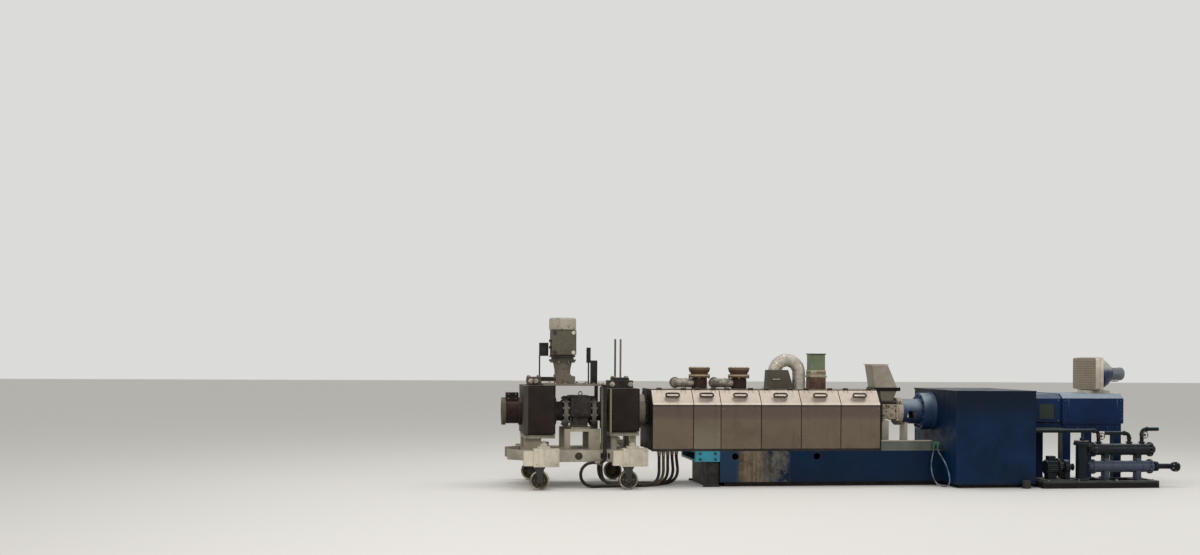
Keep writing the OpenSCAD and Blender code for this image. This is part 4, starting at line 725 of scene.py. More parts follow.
def repeated(shape, places):
    """A copy of the shape at each place, by adding the places to its points in one array."""
    points, faces = shape
    places = np.array(places, float)
    start = np.arange(len(places))[:, None, None] * len(points)
    copies = (places[:, None, :] + points[None]).reshape(-1, 3)
    return copies, [(start + f[None]).reshape(-1, f.shape[1]) for f in faces]


def grid(xs, ys, zs, origin=(0, 0, 0)):
    """Every place with one of the x, one of the y and one of the z, counted from an origin."""
    return np.stack(np.meshgrid(xs, ys, zs, indexing="ij"), -1).reshape(-1, 3) + origin


def smooth_line(points, steps):
    """Catmull-Rom curve through the points: each stretch is the cubic that its neighbours' directions give."""
    p = np.array(points, float)
    q = np.concatenate([p[:1], p, p[-1:]])
    a, b, c, d = (q[k : k + len(p) - 1, None, :] for k in range(4))
    t = np.linspace(0, 1, steps, endpoint=False)[None, :, None]
    line = 0.5 * (2 * b + (c - a) * t + (2 * a - 5 * b + 4 * c - d) * t**2 + (3 * b - a - 3 * c + d) * t**3)
    return np.concatenate([line.reshape(-1, 3), p[-1:]])


def swept(line, section, closed=False, beside=BACK):
    """A section of (side, up) pairs carried along a line, square to it; beside keeps it from twisting."""
    line = np.array(line, float)
    ahead = np.roll(line, -1, 0) - np.roll(line, 1, 0)
    if not closed:
        ahead[0], ahead[-1] = line[1] - line[0], line[-1] - line[-2]
    ahead /= np.linalg.norm(ahead, axis=1, keepdims=True)
    across = np.cross(ahead, np.array(beside, float)[None])
    across /= np.linalg.norm(across, axis=1, keepdims=True)
    above = np.cross(ahead, across)
    section = np.array(section, float)
    rings = line[:, None] + section[None, :, :1] * across[:, None] + section[None, :, 1:] * above[:, None]
    if closed:
        rings = np.concatenate([rings, rings[:1]])
    return skin(rings, caps=not closed)


def placed(name, data):
    """An object with this data, in the scene."""
    made = bpy.data.objects.new(name, data)
    scene.collection.objects.link(made)
    return made


def piece(name, shape, finish, body="machine"):
    """The shape as an object of this finish that rides on a body: doubles merged and faces turned outward."""
    points, faces = shape
    mesh = bpy.data.meshes.new(name)
    mesh.from_pydata(points.tolist(), [], [f for group in faces for f in group.tolist()])
    work = bmesh.new()
    work.from_mesh(mesh)
    bmesh.ops.remove_doubles(work, verts=work.verts, dist=1e-6)
    bmesh.ops.recalc_face_normals(work, faces=work.faces)
    work.to_mesh(mesh)
    work.free()
    mesh.materials.append(finish)
    mesh.polygons.foreach_set("use_smooth", [True] * len(mesh.polygons))
    mesh.set_sharp_from_angle(angle=math.radians(32.0))
    made = placed(name, mesh)
    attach(made, body)
    return made


# ---------------------------------------------------------------- fasteners and small parts

# widths across the flats of the bolts' heads
M6, M8, M10, M12, M16, M20 = 0.010, 0.013, 0.017, 0.019, 0.024, 0.030


def hex_bolt(across_flats):
    """A washer under a hexagon head with a chamfered top."""
    r = across_flats / math.sqrt(3)
    head = across_flats * 0.62
    washer = turned([(r * 1.18, -0.0006), (r * 1.18, r * 0.22)], 12)
    return joined(washer, turned([(r, r * 0.2), (r, r * 0.2 + head * 0.85), (r * 0.84, r * 0.2 + head)], 6))


def pan_screw(radius):
    """A low domed screw head: radius falls along a quarter ellipse."""
    a = np.linspace(0.0, 1.35, 4)
    return turned([(radius, -0.0005)] + [(radius * math.cos(t), radius * 0.5 * math.sin(t)) for t in a], 10)


def bolt_circle(centre, axis, radius, count, start=0.0):
    """Places evenly round a circle square to the axis."""
    return np.array(centre) + circle(radius, count, start) @ side_axes(axis)[:, :2].T


def bolts(name, places, out, size, finish=bolt_steel):
    piece(name, repeated(moved(hex_bolt(size), out=out), places), finish)


def screws(name, places, out, radius, finish=bolt_steel, body="machine"):
    piece(name, repeated(moved(pan_screw(radius), out=out), places), finish, body)


def ring_of(fasten, name, centre, out, radius, count, start, size, finish=bolt_steel):
    """Bolts or screws evenly round a circle that faces out."""
    fasten(name, bolt_circle(centre, out, radius, count, start), out, size, finish)


def lifting_eye(r):
    """A collar with a ring standing on it: a small circle carried round a larger one."""
    x, z = circle(r, 20).T
    ring = np.column_stack([x, 0 * x, z + r * 1.35])
    collar = turned([(r * 0.8, -0.001), (r * 0.8, r * 0.3), (r * 0.5, r * 0.5)], 14)
    return joined(collar, swept(ring, circle(r * 0.3, 8), True))


def hand_wheel(radius):
    """A valve hand wheel on its stem: a ring, four spokes and a hub."""
    height = 0.05
    ring = swept(raised(circle(radius, 24), height), circle(0.005, 8), True, UP)
    spokes = [swept([(0, 0, height), (x, y, height)], circle(0.004, 6), beside=UP) for x, y in circle(radius, 4)]
    hub = turned([(0.009, -0.002), (0.009, 0.044), (0.014, 0.045), (0.014, 0.056), (0.0, 0.057)], 12)
    return joined(ring, *spokes, hub)


def fins_round(centre, radius, fin, count):
    """A fin at even turns round an axis along X, each standing out from it."""
    x, y, z = centre
    return joined(*(moved(fin, (x, y + radius * c, z + radius * s), (0, c, s), (0, -s, c))
                    for c, s in circle(1.0, count)))


# ---------------------------------------------------------------- hoses

HOSE_R = 0.019
DRAIN_R = 0.008
HOSE_ROUTES = [
    [(-2.290, -0.340, 0.440), (-2.290, -0.340, 0.350), (-2.290, -0.341, 0.260), (-2.291, -0.344, 0.175),
     (-2.311, -0.350, 0.097), (-2.367, -0.360, 0.041), (-2.445, -0.372, 0.020), (-2.550, -0.388, 0.020),
     (-2.660, -0.404, 0.020), (-2.770, -0.420, 0.020), (-2.880, -0.436, 0.020), (-2.985, -0.450, 0.020),
     (-3.070, -0.462, 0.020), (-3.135, -0.470, 0.020), (-3.207, -0.474, 0.039), (-3.261, -0.478, 0.092),
     (-3.280, -0.480, 0.165), (-3.261, -0.480, 0.238), (-3.207, -0.480, 0.291), (-3.135, -0.480, 0.310),
     (-3.047, -0.480, 0.310)],
    [(-2.225, -0.280, 0.440), (-2.225, -0.280, 0.350), (-2.225, -0.281, 0.260), (-2.226, -0.283, 0.175),
     (-2.246, -0.287, 0.097), (-2.302, -0.294, 0.041), (-2.380, -0.302, 0.020), (-2.490, -0.312, 0.020),
     (-2.610, -0.318, 0.020), (-2.730, -0.316, 0.020), (-2.845, -0.308, 0.020), (-2.922, -0.300, 0.041),
     (-2.979, -0.290, 0.097), (-3.000, -0.282, 0.175), (-3.000, -0.278, 0.245), (-3.000, -0.278, 0.316)],
    [(-2.160, -0.222, 0.440), (-2.160, -0.222, 0.350), (-2.160, -0.222, 0.260), (-2.161, -0.223, 0.175),
     (-2.181, -0.224, 0.097), (-2.237, -0.228, 0.041), (-2.315, -0.234, 0.020), (-2.420, -0.240, 0.020),
     (-2.530, -0.240, 0.020), (-2.640, -0.232, 0.020), (-2.745, -0.220, 0.020), (-2.845, -0.208, 0.020),
     (-2.922, -0.200, 0.041), (-2.979, -0.194, 0.097), (-3.000, -0.190, 0.175), (-3.000, -0.188, 0.245),
     (-3.000, -0.188, 0.316)],
    [(-2.095, -0.165, 0.440), (-2.095, -0.165, 0.355), (-2.088, -0.165, 0.268), (-2.082, -0.164, 0.180),
     (-2.103, -0.162, 0.097), (-2.159, -0.160, 0.041), (-2.237, -0.158, 0.020), (-2.340, -0.159, 0.020),
     (-2.445, -0.155, 0.020), (-2.550, -0.147, 0.020), (-2.650, -0.139, 0.020), (-2.750, -0.130, 0.020),
     (-2.845, -0.124, 0.020), (-2.922, -0.118, 0.041), (-2.979, -0.112, 0.097), (-3.000, -0.106, 0.175),
     (-3.000, -0.104, 0.245), (-3.000, -0.104, 0.316)],
    [(-2.030, -0.110, 0.440), (-2.030, -0.110, 0.355), (-2.021, -0.109, 0.268), (-2.012, -0.107, 0.180),
     (-2.030, -0.104, 0.098), (-2.086, -0.100, 0.041), (-2.166, -0.095, 0.020), (-2.280, -0.085, 0.020),
     (-2.400, -0.072, 0.020), (-2.520, -0.060, 0.020), (-2.640, -0.052, 0.020), (-2.750, -0.048, 0.020),
     (-2.845, -0.045, 0.020), (-2.922, -0.038, 0.041), (-2.979, -0.030, 0.097), (-3.000, -0.024, 0.175),
     (-3.000, -0.020, 0.245), (-3.000, -0.020, 0.316)],
]
DRAIN_ROUTE = [
    (1.192, -0.474, 0.518), (1.192, -0.474, 0.494), (1.192, -0.474, 0.466), (1.186, -0.476, 0.420),
    (1.170, -0.481, 0.345), (1.156, -0.495, 0.260), (1.156, -0.520, 0.165), (1.170, -0.556, 0.085),
    (1.196, -0.596, 0.034), (1.232, -0.638, 0.012), (1.268, -0.680, 0.012), (1.298, -0.715, 0.036),
    (1.306, -0.722, 0.100), (1.302, -0.692, 0.190), (1.288, -0.625, 0.290), (1.268, -0.545, 0.370),
    (1.252, -0.492, 0.424), (1.248, -0.474, 0.466), (1.248, -0.474, 0.494), (1.248, -0.474, 0.518),
]


def laid_hose(name, route, radius, finish, node):
    """A hose along its route, which goes back into the machine at its far end."""
    line = smooth_line(route, 4)
    line[:, 2] = np.maximum(line[:, 2], radius + 0.0005)
    hose = piece(name, swept(line, circle(radius, 16), beside=RIGHT if node == "drain_hose" else BACK), finish)
    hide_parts(node)


def hoses():
    """The hoses and the crimped sleeves at their ends."""
    for k, route in enumerate(HOSE_ROUTES, 1):
        finish = olive_hose if k == 2 else black_rubber
        laid_hose(f"supply_hose_{k}", route, HOSE_R, finish, "supply_hoses")
    laid_hose("drain_line", DRAIN_ROUTE, DRAIN_R, grey_hose, "drain_hose")
    profile = [(0.011, 0.0), (0.011, 0.016), (0.004, 0.018), (0.005, 0.034), (0.003, 0.038),
               (0.005, 0.044), (0.003, 0.05), (0.004, 0.06), (-0.001, 0.062)]
    sleeve = turned([(HOSE_R + wall, z) for wall, z in profile], 18)
    ends = [route[0] for route in HOSE_ROUTES] + [route[-1] for route in HOSE_ROUTES[1:]]
    riser = moved(sleeve, HOSE_ROUTES[0][-1], LEFT)
    piece("hose_sleeves", joined(repeated(moved(sleeve, out=DOWN), ends), riser), bolt_steel)


# ---------------------------------------------------------------- melt end


def melt_end_bolts():
    """Bolts of the flanges from the die to the barrel, and of the top plate."""
    for k, (along_pump, way) in enumerate(((0.13, -1), (0.18, 1), (0.48, -1), (0.53, 1)), 1):
        centre = (PUMP_X0 + along_pump, 0, SCREW_Z)
        ring_of(bolts, f"pump_flange_bolts_{k}", centre, (way, 0, 0), 0.167, 12, 0.26, M16, bright_bolt)
    ring_face = high("adapter_ring")[0] - 0.010
    ring_of(bolts, "ring_bolts", (ring_face, 0, SCREW_Z), RIGHT, 0.186, 12, 0.13, M20, dark_bolt)
    heater = grid((0.08, 0.17), -0.096, (0.16, 0.212), (low("die_head")[0], 0, SCREW_Z))
    screws("die_heater_screws", heater, FRONT, 0.007)
    edge = grid(np.linspace(-3.70, -3.0, 7), (-0.372, 0.372), PLATE_TOP)
    bolts("top_plate_bolts", edge, UP, M16)


def block_skins():
    """Cover sheets on the front and back of the two lagged blocks, with a screw every hand's width round them."""
    for name in ("screen_changer", "starting_valve"):
        a, b = low(name), high(name)
        bottom, top = a[2] + 0.028, b[2] - 0.02
        mid_x, wide = (a[0] + b[0]) / 2 + 0.018, b[0] - a[0] - 0.082
        thick = 0.004
        sheet = slab(wide, top - bottom, thick, 0.012, 0.0015)
        xs = mid_x + np.array([-1, 0, 1]) * (wide / 2 - 0.016)
        zs = np.linspace(bottom + 0.016, top - 0.016, 6)
        for k, side in enumerate((-1, 1), 1):
            out = (0, side, 0)
            face = moved(sheet, (mid_x, side * LAGGED_Y, (bottom + top) / 2), out, UP)
            piece(f"{name}_skin_{k}", face, skin_lagging)
            y = side * (LAGGED_Y + thick)
            places = [(x, y, z) for x in xs for z in zs if x != mid_x or z in (zs[0], zs[-1])]
            screws(f"{name}_screws_{k}", places, out, 0.006, dark_bolt)


def clamp_details():
    """Nuts on the clamp rods, bolts on the heads, and a lifting eye and cheek bolts on the melt pump."""
    changer = (low("screen_changer")[0], 0, high("screen_changer")[2])
    valve = (low("starting_valve")[0], 0, high("starting_valve")[2])
    for tag, side in SIDES.items():
        rods = [*grid((0.10, 0.16), side * 0.178, 0.05, changer), *grid((0.08, 0.31), side * 0.166, 0.045, valve)]
        bolts(f"clamp_nuts_{tag}", rods, (0, side, 0), 0.05, bright_bolt)
        cheeks = grid((0.265, 0.395), side * 0.264, (-0.01, 0.06, 0.13), (PUMP_X0, 0, SCREW_Z))
        bolts(f"cheek_bolts_{tag}", cheeks, (0, side, 0), M16, dark_bolt)
    heads = [*grid((0.09, 0.21), (-0.14, 0.14), 0.10, changer),
             *grid((0.115, 0.28), (-0.09, 0.0, 0.09), 0.13, valve)]
    bolts("clamp_head_bolts", heads, UP, M16)
    eye = moved(lifting_eye(0.022), (PUMP_X0 + 0.33, -0.16, SCREW_Z + 0.195))
    piece("pump_lifting_eye", eye, pale_metal)


def pump_motor_details():
    """Flange bolts, cable glands, the fan cover's screws and the screws of the lantern's base."""
    ring_of(bolts, "motor_flange_bolts", (MOTOR_X, 0, MOTOR_BASE), DOWN, 0.148, 8, 0.39, M16)
    box_z = (MOTOR_RIM + FAN_COVER) / 2
    gland = turned([(0.024, -0.001), (0.024, 0.012), (0.02, 0.014), (0.02, 0.03),
                    (0.013, 0.036), (0.0, 0.036)], 6)
    glands = repeated(moved(gland, out=LEFT), grid(-0.148, -0.15, (-0.06, 0.02), (MOTOR_X, 0, box_z)))
    piece("terminal_glands", glands, dark_bolt)
    for k, place in enumerate(bolt_circle((MOTOR_X, 0, MOTOR_TOP - 0.13), UP, 0.168, 4, 0.785), 1):
        screws(f"fan_cover_screw_{k}", [place], (place[0] - MOTOR_X, place[1], 0), 0.008)
    base = grid((-0.075, 0.128), (-0.1, 0.1), 0.092, (MOTOR_X, 0, PLATE_TOP))
    screws("lantern_base_screws", base, UP, 0.012)


def carriage_details():
    """The front corner boxes' plates, the jack screws, the wheels' hub caps and rims, and the beams' blind plugs."""
    hubs = {name: centre_of(name) for name in WHEELS}
    box_face = low("carriage_boxes")[1]
    plate = slab(0.27, 0.185, 0.004, 0.01, 0.0015)
    jack = turned([(0.011, -0.001), (0.011, 0.012), (0.006, 0.016)], 6)
    tyre_edge = [(-0.007, 0.0005), (-0.006, -0.0022), (0.005, -0.0022), (0.0075, 0.0005)]
    rim = swept(raised(circle(0.106, 48)), tyre_edge, True, UP)
    studs = repeated(pan_screw(0.006), bolt_circle((0, 0, -0.0135), UP, 0.062, 6))
    cap = joined(studs, turned([(0.03, 0.002), (0.034, 0.003), (0.034, 0.006), (0.022, 0.008)]))
    for k, (name, hub) in enumerate(hubs.items(), 1):
        if hub[1] < 0:
            middle = (hub[0] + 0.08, box_face, 0.386)
            piece(f"corner_plate_{k}", moved(plate, middle, FRONT, UP), box_enamel)
            corners = grid((-0.118, 0.118), -0.004, (-0.076, 0.076), middle)
            screws(f"corner_screws_{k}", corners, FRONT, 0.007)
        piece(f"jack_screw_{k}", moved(jack, (hub[0] + 0.052, hub[1], 0.572)), bolt_steel)
        for tag, side in SIDES.items():
            place, out = (hub[0], hub[1] + side * 0.03, hub[2]), (0, side, 0)
            piece(f"wheel_rim_{k}_{tag}", moved(rim, place, out), tyre_grey, body_of(name))
            piece(f"wheel_studs_{k}_{tag}", moved(cap, place, out), bolt_steel, body_of(name))
    plug = turned([(0.046, -0.0008), (0.046, 0.003), (0.0435, 0.0048), (0.036, 0.0042), (0.014, 0.0036),
                   (0.012, 0.0056)], 32)
    mid_x = sum(hub[0] for hub in hubs.values()) / len(hubs) - 0.04
    for tag, side in SIDES.items():
        piece(f"beam_blind_plug_{tag}", moved(plug, (mid_x, side * BEAM_Y, 0.387), (0, side, 0)), black_rubber)


# ---------------------------------------------------------------- covers and what stands on them


def pull_outline(length, width):
    """Centre line of a ring with round ends: two half circles joined by straight sides."""
    r = width / 2
    a = np.linspace(-np.pi / 2, np.pi / 2, 10)
    right = np.stack([length / 2 - r + r * np.cos(a), r * np.sin(a)], -1)
    return np.concatenate([right, -right])


def lid_details():
    """On each lid a rounded rim on its ring pull, a dished seat behind it and the rivets of the hinge lugs."""
    hinge = np.array([0.0, RIDGE_Y, DECK_Z])
    rim = swept(raised(pull_outline(0.168, 0.052)), circle(0.0115, 10), True, UP)
    seat = slab(0.2, 0.082, 0.0025, 0.04, 0.002, 8)
    for name in LIDS:
        start, end, body = low(name)[0], high(name)[0], body_of(name)
        middle = hinge + SLOPE * 0.122 + ((start + end) / 2, 0, 0)
        piece(f"{name}_pull_rim", moved(rim, middle + SLOPE_OUT * 0.0345, SLOPE_OUT, -SLOPE), pull_iron, body)
        piece(f"{name}_pull_seat", moved(seat, middle, SLOPE_OUT, -SLOPE), lid_steel, body)
        rivets = [*grid((-0.088, 0.088), 0, 0, middle),
                  *grid(np.linspace(start + 0.05, end - 0.05, 5), 0, 0, hinge + SLOPE * 0.05)]
        screws(f"{name}_rivets", rivets, SLOPE_OUT, 0.005, pale_metal, body)


def panel_details():
    """Screws down the edges of the front and rear panels and along the deck."""
    start, end = low("front_panels"), high("front_panels")[0]
    edges = [x for x0, x1 in zip(SEAMS, SEAMS[1:]) for x in (x0 + 0.022, x1 - 0.022)]
    front = grid(edges, start[1], (0.492, 0.65, 0.81, PANEL_TOP - 0.03))
    screws("panel_screws", front, FRONT, 0.005)
    xs = np.linspace(start[0] + 0.03, end - 0.03, 16)
    rear = grid(xs, high("rear_panels")[1], (0.492, 0.74, 0.98))
    screws("rear_panel_screws", rear, BACK, 0.005)
    screws("deck_screws", grid(xs, (-0.262, 0.262), DECK_Z), UP, 0.005)


def deck_fittings():
    """Screws, bolts and bands of what stands on the deck: vent ports, fume hood and duct, stuffer."""
    for fasten, name, z, out, radius, size, finish in (
        (screws, "vent_lid_screws", PORT_TOP, UP, 0.112, 0.008, dark_bolt),
        (bolts, "vent_flange_bolts", PORT_FLANGE, DOWN, 0.121, M12, bolt_steel),
    ):
        fasten(name, [p for x in PORT_XS for p in bolt_circle((x, 0, z), out, radius, 8, 0.2)], out, size, finish)
    hood0, hood1 = low("fume_hood"), high("fume_hood")
    flange = grid(np.linspace(hood0[0] + 0.02, hood1[0] - 0.02, 4), (hood0[1] + 0.006, hood1[1] - 0.006),
                  hood0[2] + 0.012)
    screws("hood_foot_screws", flange, UP, 0.004)
    left = [(-0.045, 0, -0.004), (-0.045, 0, 0.018), (-0.034, 0, 0.03)]
    grip = smooth_line(left + [(-x, y, z) for x, y, z in left[::-1]], 5)
    handle = moved(swept(grip, circle(0.005, 8)), (hood0[0] + 0.10, -0.128, 1.32), (0, -1, 0.14), UP)
    piece("hood_handle", handle, pale_metal)
    hoop = band(0.0822, 0.0835, 0.009, 0.001)
    arch_x, bend = high("fume_duct")[0] - 0.088, 0.16
    centre = np.array([arch_x - bend, 0, high("fume_duct")[2] - 0.24])
    bands = [moved(hoop, (arch_x, 0, DECK_Z + 0.1))]
    for angle in (0.5, 1.15, 1.8, 2.45):
        c, s = math.cos(angle), math.sin(angle)
        bands.append(moved(hoop, centre + bend * np.array([c, 0, s]), (-s, 0, c)))
    piece("fume_duct_bands", joined(*bands), pale_metal)
    foot = (centre_of("stuffer_motor")[0], 0, low("stuffer_motor")[2])
    flange = grid((-0.102, 0.102), (-0.112, 0.0, 0.112), 0, foot)
    screws("stuffer_flange_screws", flange, UP, 0.0045)


def feed_details():
    """Bolts of the chute's flanges, the throat and the lantern, and the feed block's cooling water plugs."""
    a, b = low("feed_funnel"), high("feed_funnel")
    rim = grid(np.linspace(a[0] + 0.006, b[0] - 0.012, 6), (a[1] + 0.0075, b[1] - 0.0075), b[2])
    bolts("chute_flange_bolts", rim, UP, M6)
    bolts("throat_bolts", grid(np.linspace(0.65, 0.81, 4), (-0.098, 0.098), a[2] + 0.026), UP, M8)
    for tag, side in SIDES.items():
        plugs = grid((0.70, 0.76), side * 0.136, (SCREW_Z - 0.05, SCREW_Z + 0.05))
        bolts(f"feed_block_plugs_{tag}", plugs, (0, side, 0), M12)
    flange = (high("feed_barrel")[0] - 0.06, 0, SCREW_Z)
    ring_of(bolts, "lantern_flange_bolts", flange, LEFT, 0.164, 7, 0.1 + math.pi / 7, 0.016)


# ---------------------------------------------------------------- drive end, oil unit and bed


def gearbox_details():
    """Screws and bolts of the collar between the lantern and the gearbox."""
    face = GEARBOX_0[0]
    ring_of(screws, "collar_screws", (face - 0.012, 0, SCREW_Z), LEFT, 0.242, 16, 0.1, 0.0055, blue_bolt)
    ring_of(bolts, "collar_bolts", (face - 0.153, 0, SCREW_Z), LEFT, 0.198, 12, 0.13, M20, blue_bolt)


def motor_details():
    """End shield and bearing bolts, side seams and feet bolts of the main motor, and its guard's screws."""
    a, b = low("main_motor"), high("main_motor")
    shield_x, mid_z = b[0] - 0.06, (a[2] + b[2]) / 2
    shield = grid(shield_x, (-0.40, -0.13, 0.13, 0.40), (a[2] + 0.045, b[2] - 0.095))
    bolts("motor_shield_bolts", shield, RIGHT, M16, blue_bolt)
    ring_of(bolts, "motor_bearing_bolts", (b[0], 0, mid_z), RIGHT, 0.125, 8, 0.0, M12, blue_bolt)
    seam = slab(0.012, 0.30, 0.004, 0.004, 0.002, 3)
    for tag, side in SIDES.items():
        out, wall = (0, side, 0), side * abs(a[1])
        seams = grid((a[0] + 0.085, shield_x - 0.085), wall, mid_z - 0.03)
        piece(f"motor_seams_{tag}", repeated(moved(seam, out=out, up=UP), seams), motor_enamel)
        rows = grid((a[0] + 0.04, shield_x - 0.04), wall, (a[2] + 0.05, mid_z - 0.02, b[2] - 0.09))
        bolts(f"motor_side_bolts_{tag}", rows, out, M12, blue_bolt)
        sill = grid(np.linspace(a[0] + 0.08, shield_x - 0.08, 6), side * 0.43, a[2] - 0.05)
        bolts(f"motor_frame_bolts_{tag}", sill, out, M16, blue_bolt)
        screws(f"guard_screws_{tag}", grid((2.41, 2.88), side * 0.42, (0.815, 1.075)), out, 0.008)


def blower_details():
    """The filter's pleats and screws, its frame's screws, rims round the scroll and ribs of the fan's motor."""
    a, b = low("blower_box"), high("blower_box")
    fan_x, fan_z = 3.55, (a[2] + b[2]) / 2
    pleat = moved(slab(0.54, 0.012, 0.004, 0.004, 0.0015, 3), out=LEFT, up=UP)
    piece("filter_pleats", repeated(pleat, grid(a[0], 0, np.linspace(1.245, 1.575, 12))), filter_enamel)
    corners = grid(a[0], (-0.284, 0.284), (fan_z - 0.165, fan_z, fan_z + 0.165))
    screws("filter_screws", corners, LEFT, 0.007)
    frame_edge = grid(fan_x, (-0.29, 0.29), np.linspace(1.22, 1.60, 6))
    screws("blower_frame_screws", frame_edge, RIGHT, 0.006)
    rim = moved(band(0.197, 0.204, 0.01, 0.003, 48), out=RIGHT)
    piece("scroll_rims", repeated(rim, grid((fan_x + 0.02, fan_x + 0.088), 0, fan_z)), fan_enamel)
    rib = slab(0.088, 0.004, 0.006, 0.0018, 0.001, 3)
    piece("fan_motor_ribs", fins_round((fan_x + 0.317, 0, fan_z), 0.0795, rib, 20), fan_enamel)


def oil_unit_details():
    """Bolts of the oil unit's flanges, bands round the coolers, hand wheels and the pump motor's fins."""
    hoop = moved(band(0.071, 0.075, 0.008, 0.002), out=RIGHT)
    for k, z in enumerate((0.255, 0.47), 1):
        for tag, x, way in (("left", COOLER_0, 1), ("right", COOLER_1, -1)):
            flange = (x + way * 0.024, COOLER_Y, z)
            ring_of(bolts, f"cooler_bolts_{k}_{tag}", flange, (way, 0, 0), 0.082, 10, 0.3, M8)
            ring_of(screws, f"cooler_nuts_{k}_{tag}", (x, COOLER_Y, z), (-way, 0, 0), 0.082, 10, 0.3, 0.007)
        hoops = grid(np.linspace(COOLER_0 + 0.13, COOLER_1 - 0.13, 5), COOLER_Y, z)
        piece(f"cooler_bands_{k}", repeated(hoop, hoops), cooler_enamel)
    filter_at, pump_at = (2.98, -0.83), (-0.81, 0.254)
    ring_of(bolts, "filter_bolts", (*filter_at, 0.576), UP, 0.078, 8, 0.2, M10)
    ring_of(bolts, "filter_foot_bolts", (*filter_at, 0.11), UP, 0.081, 4, 0.785, 0.015, dark_bolt)
    fin = slab(0.13, 0.004, 0.01, 0.0018, 0.0015, 3)
    piece("oil_motor_fins", fins_round((2.585, *pump_at), 0.0875, fin, 24), oil_enamel)
    ring_of(bolts, "oil_pump_bolts", (2.678, *pump_at), RIGHT, 0.1, 8, 0.0, M8)
    valves = [(3.24, COOLER_Y - 0.024, 0.64), (3.82, COOLER_Y - 0.024, 0.655)]
    piece("hand_wheels", repeated(moved(hand_wheel(0.042), out=FRONT), valves), dark_bolt)
    bolts("skid_bolts", grid((2.5, 2.9, 3.4, 3.88), (-0.93, -0.51), 0.09), UP, M16)
    far = high("oil_pipes")[0] - 0.062
    for tag, far_y, way in (("near", -0.858, 1), ("far", -0.898, -1)):
        ring_of(bolts, f"far_flange_bolts_{tag}", (far, far_y, 0.255), (0, way, 0), 0.049, 6, 0.3, M8)


def bed_details():
    """Anchor bolts of the motor's feet, the bracket's bolts, the channel's screws and the drain hose's fittings."""
    bolts("motor_foot_bolts", grid((2.91, 3.07, 3.6, 3.76), (-0.435, 0.435), 0.02), UP, M20)
    end = low("bed_end_bracket")[0] + 0.06
    bolts("bracket_bolts", grid((end, end + 0.19), -0.445, (0.34, 0.41)), FRONT, M16, blue_bolt)
    lip = grid(np.linspace(0.56, 1.13, 7), -0.456, high("bed_channel")[2])
    screws("channel_screws", lip, UP, 0.005)
    fitting = turned([(0.013, -0.002), (0.015, 0.004), (0.015, 0.022), (0.011, 0.026), (0.011, 0.046),
                      (0.0125, 0.05), (0.009, 0.056), (0.0085, 0.056)], 16)
    ends = [DRAIN_ROUTE[0], DRAIN_ROUTE[-1]]
    piece("drain_fittings", repeated(moved(fitting, out=DOWN), ends), drain_green)


for add_details in (
    hoses, melt_end_bolts, block_skins, clamp_details, pump_motor_details, carriage_details, lid_details,
    panel_details, deck_fittings, feed_details, gearbox_details, motor_details, blower_details,
    oil_unit_details, bed_details,
):
    add_details()


# ---------------------------------------------------------------- stage, light and camera


def stage_floor():
    """A plain pale floor that runs far past the camera's view."""
    f = Finish("floor_finish")
    f.set("Base Color", linear(0.84, 0.83, 0.81))
    f.set("Roughness", 0.7)
    mesh = bpy.data.meshes.new("stage_floor")
    mesh.from_pydata([(-60, -30, 0), (60, -30, 0), (60, 60, 0), (-60, 60, 0)], [], [(0, 1, 2, 3)])
    mesh.materials.append(f.material)
    placed("stage_floor", mesh)


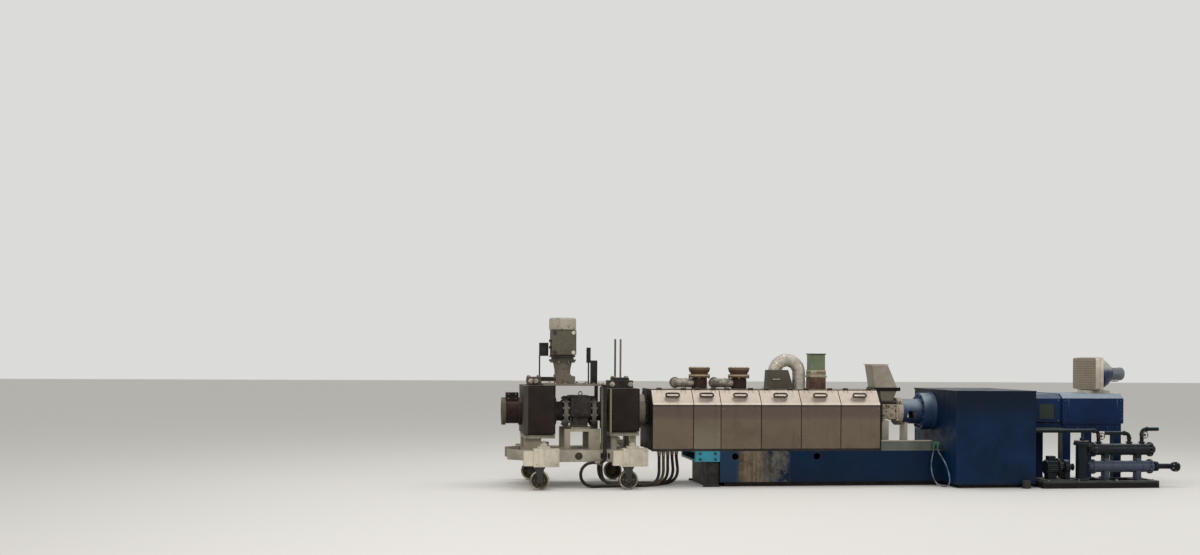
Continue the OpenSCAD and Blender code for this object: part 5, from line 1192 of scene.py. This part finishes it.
def studio_light():
    """Soft lamps, and a pale world that camera, glossy and transmission rays see as the background's colour."""
    world = bpy.data.worlds.new("studio")
    scene.world = world
    world.use_nodes = True
    tree = world.node_tree
    tree.nodes.clear()
    light, seen, paths, pick, output = (tree.nodes.new(f"ShaderNode{kind}") for kind in (
        "Background", "Background", "LightPath", "MixShader", "OutputWorld"))
    light.inputs[0].default_value = (1.0, 0.99, 0.975, 1.0)
    light.inputs[1].default_value = 0.62
    seen.inputs[0].default_value = linear(0.86, 0.86, 0.85)
    direct = paths.outputs["Is Camera Ray"]
    for ray in ("Is Glossy Ray", "Is Transmission Ray"):
        either = tree.nodes.new("ShaderNodeMath")
        either.operation = "MAXIMUM"
        tree.links.new(direct, either.inputs[0])
        tree.links.new(paths.outputs[ray], either.inputs[1])
        direct = either.outputs[0]
    tree.links.new(direct, pick.inputs[0])
    tree.links.new(light.outputs[0], pick.inputs[1])
    tree.links.new(seen.outputs[0], pick.inputs[2])
    tree.links.new(pick.outputs[0], output.inputs[0])
    for name, place, aim, size, power in (
        ("key", (-6.0, -9.0, 7.5), (-0.5, 0.0, 0.8), (7.0, 3.0), 420.0),
        ("fill", (7.0, -8.0, 5.0), (0.5, 0.0, 0.8), (5.0, 3.0), 160.0),
        ("top", (0.0, 0.5, 8.0), (0.0, 0.0, 0.5), (12.0, 3.0), 330.0),
    ):
        lamp = bpy.data.lights.new(name, "AREA")
        lamp.shape = "RECTANGLE"
        lamp.size, lamp.size_y = size
        lamp.energy = power
        away = np.array(place) - np.array(aim)
        away = away / np.linalg.norm(away)
        side = np.cross(BACK if abs(away[2]) > 0.98 else UP, away)
        side = side / np.linalg.norm(side)
        up = np.cross(away, side)
        rows = [[side[i], up[i], away[i], place[i]] for i in range(3)]
        placed(name, lamp).matrix_world = Matrix([*rows, [0, 0, 0, 1]])


def photograph_camera():
    """The camera of the photograph: 16.6 m in front, level, turned 7.8 degrees to the right."""
    frame_width, focal, rise = 1200.0, 1340.0, 74.8
    place, turn_right, roll = (-5.263, -16.61, 1.65), 7.8, 0.37
    lens = bpy.data.cameras.new("camera")
    lens.sensor_fit = "HORIZONTAL"
    lens.sensor_width = 36.0
    lens.lens = focal / frame_width * 36.0
    lens.shift_y = rise / frame_width
    lens.clip_end = 200.0
    camera = placed("camera", lens)
    camera.matrix_world = (
        Matrix.Translation(place)
        @ Matrix.Rotation(math.radians(-turn_right), 4, "Z")
        @ Matrix.Rotation(math.radians(90.0), 4, "X")
        @ Matrix.Rotation(math.radians(roll), 4, "Z")
    )
    scene.camera = camera


stage_floor()
studio_light()
photograph_camera()
scene.view_settings.view_transform = "Standard"
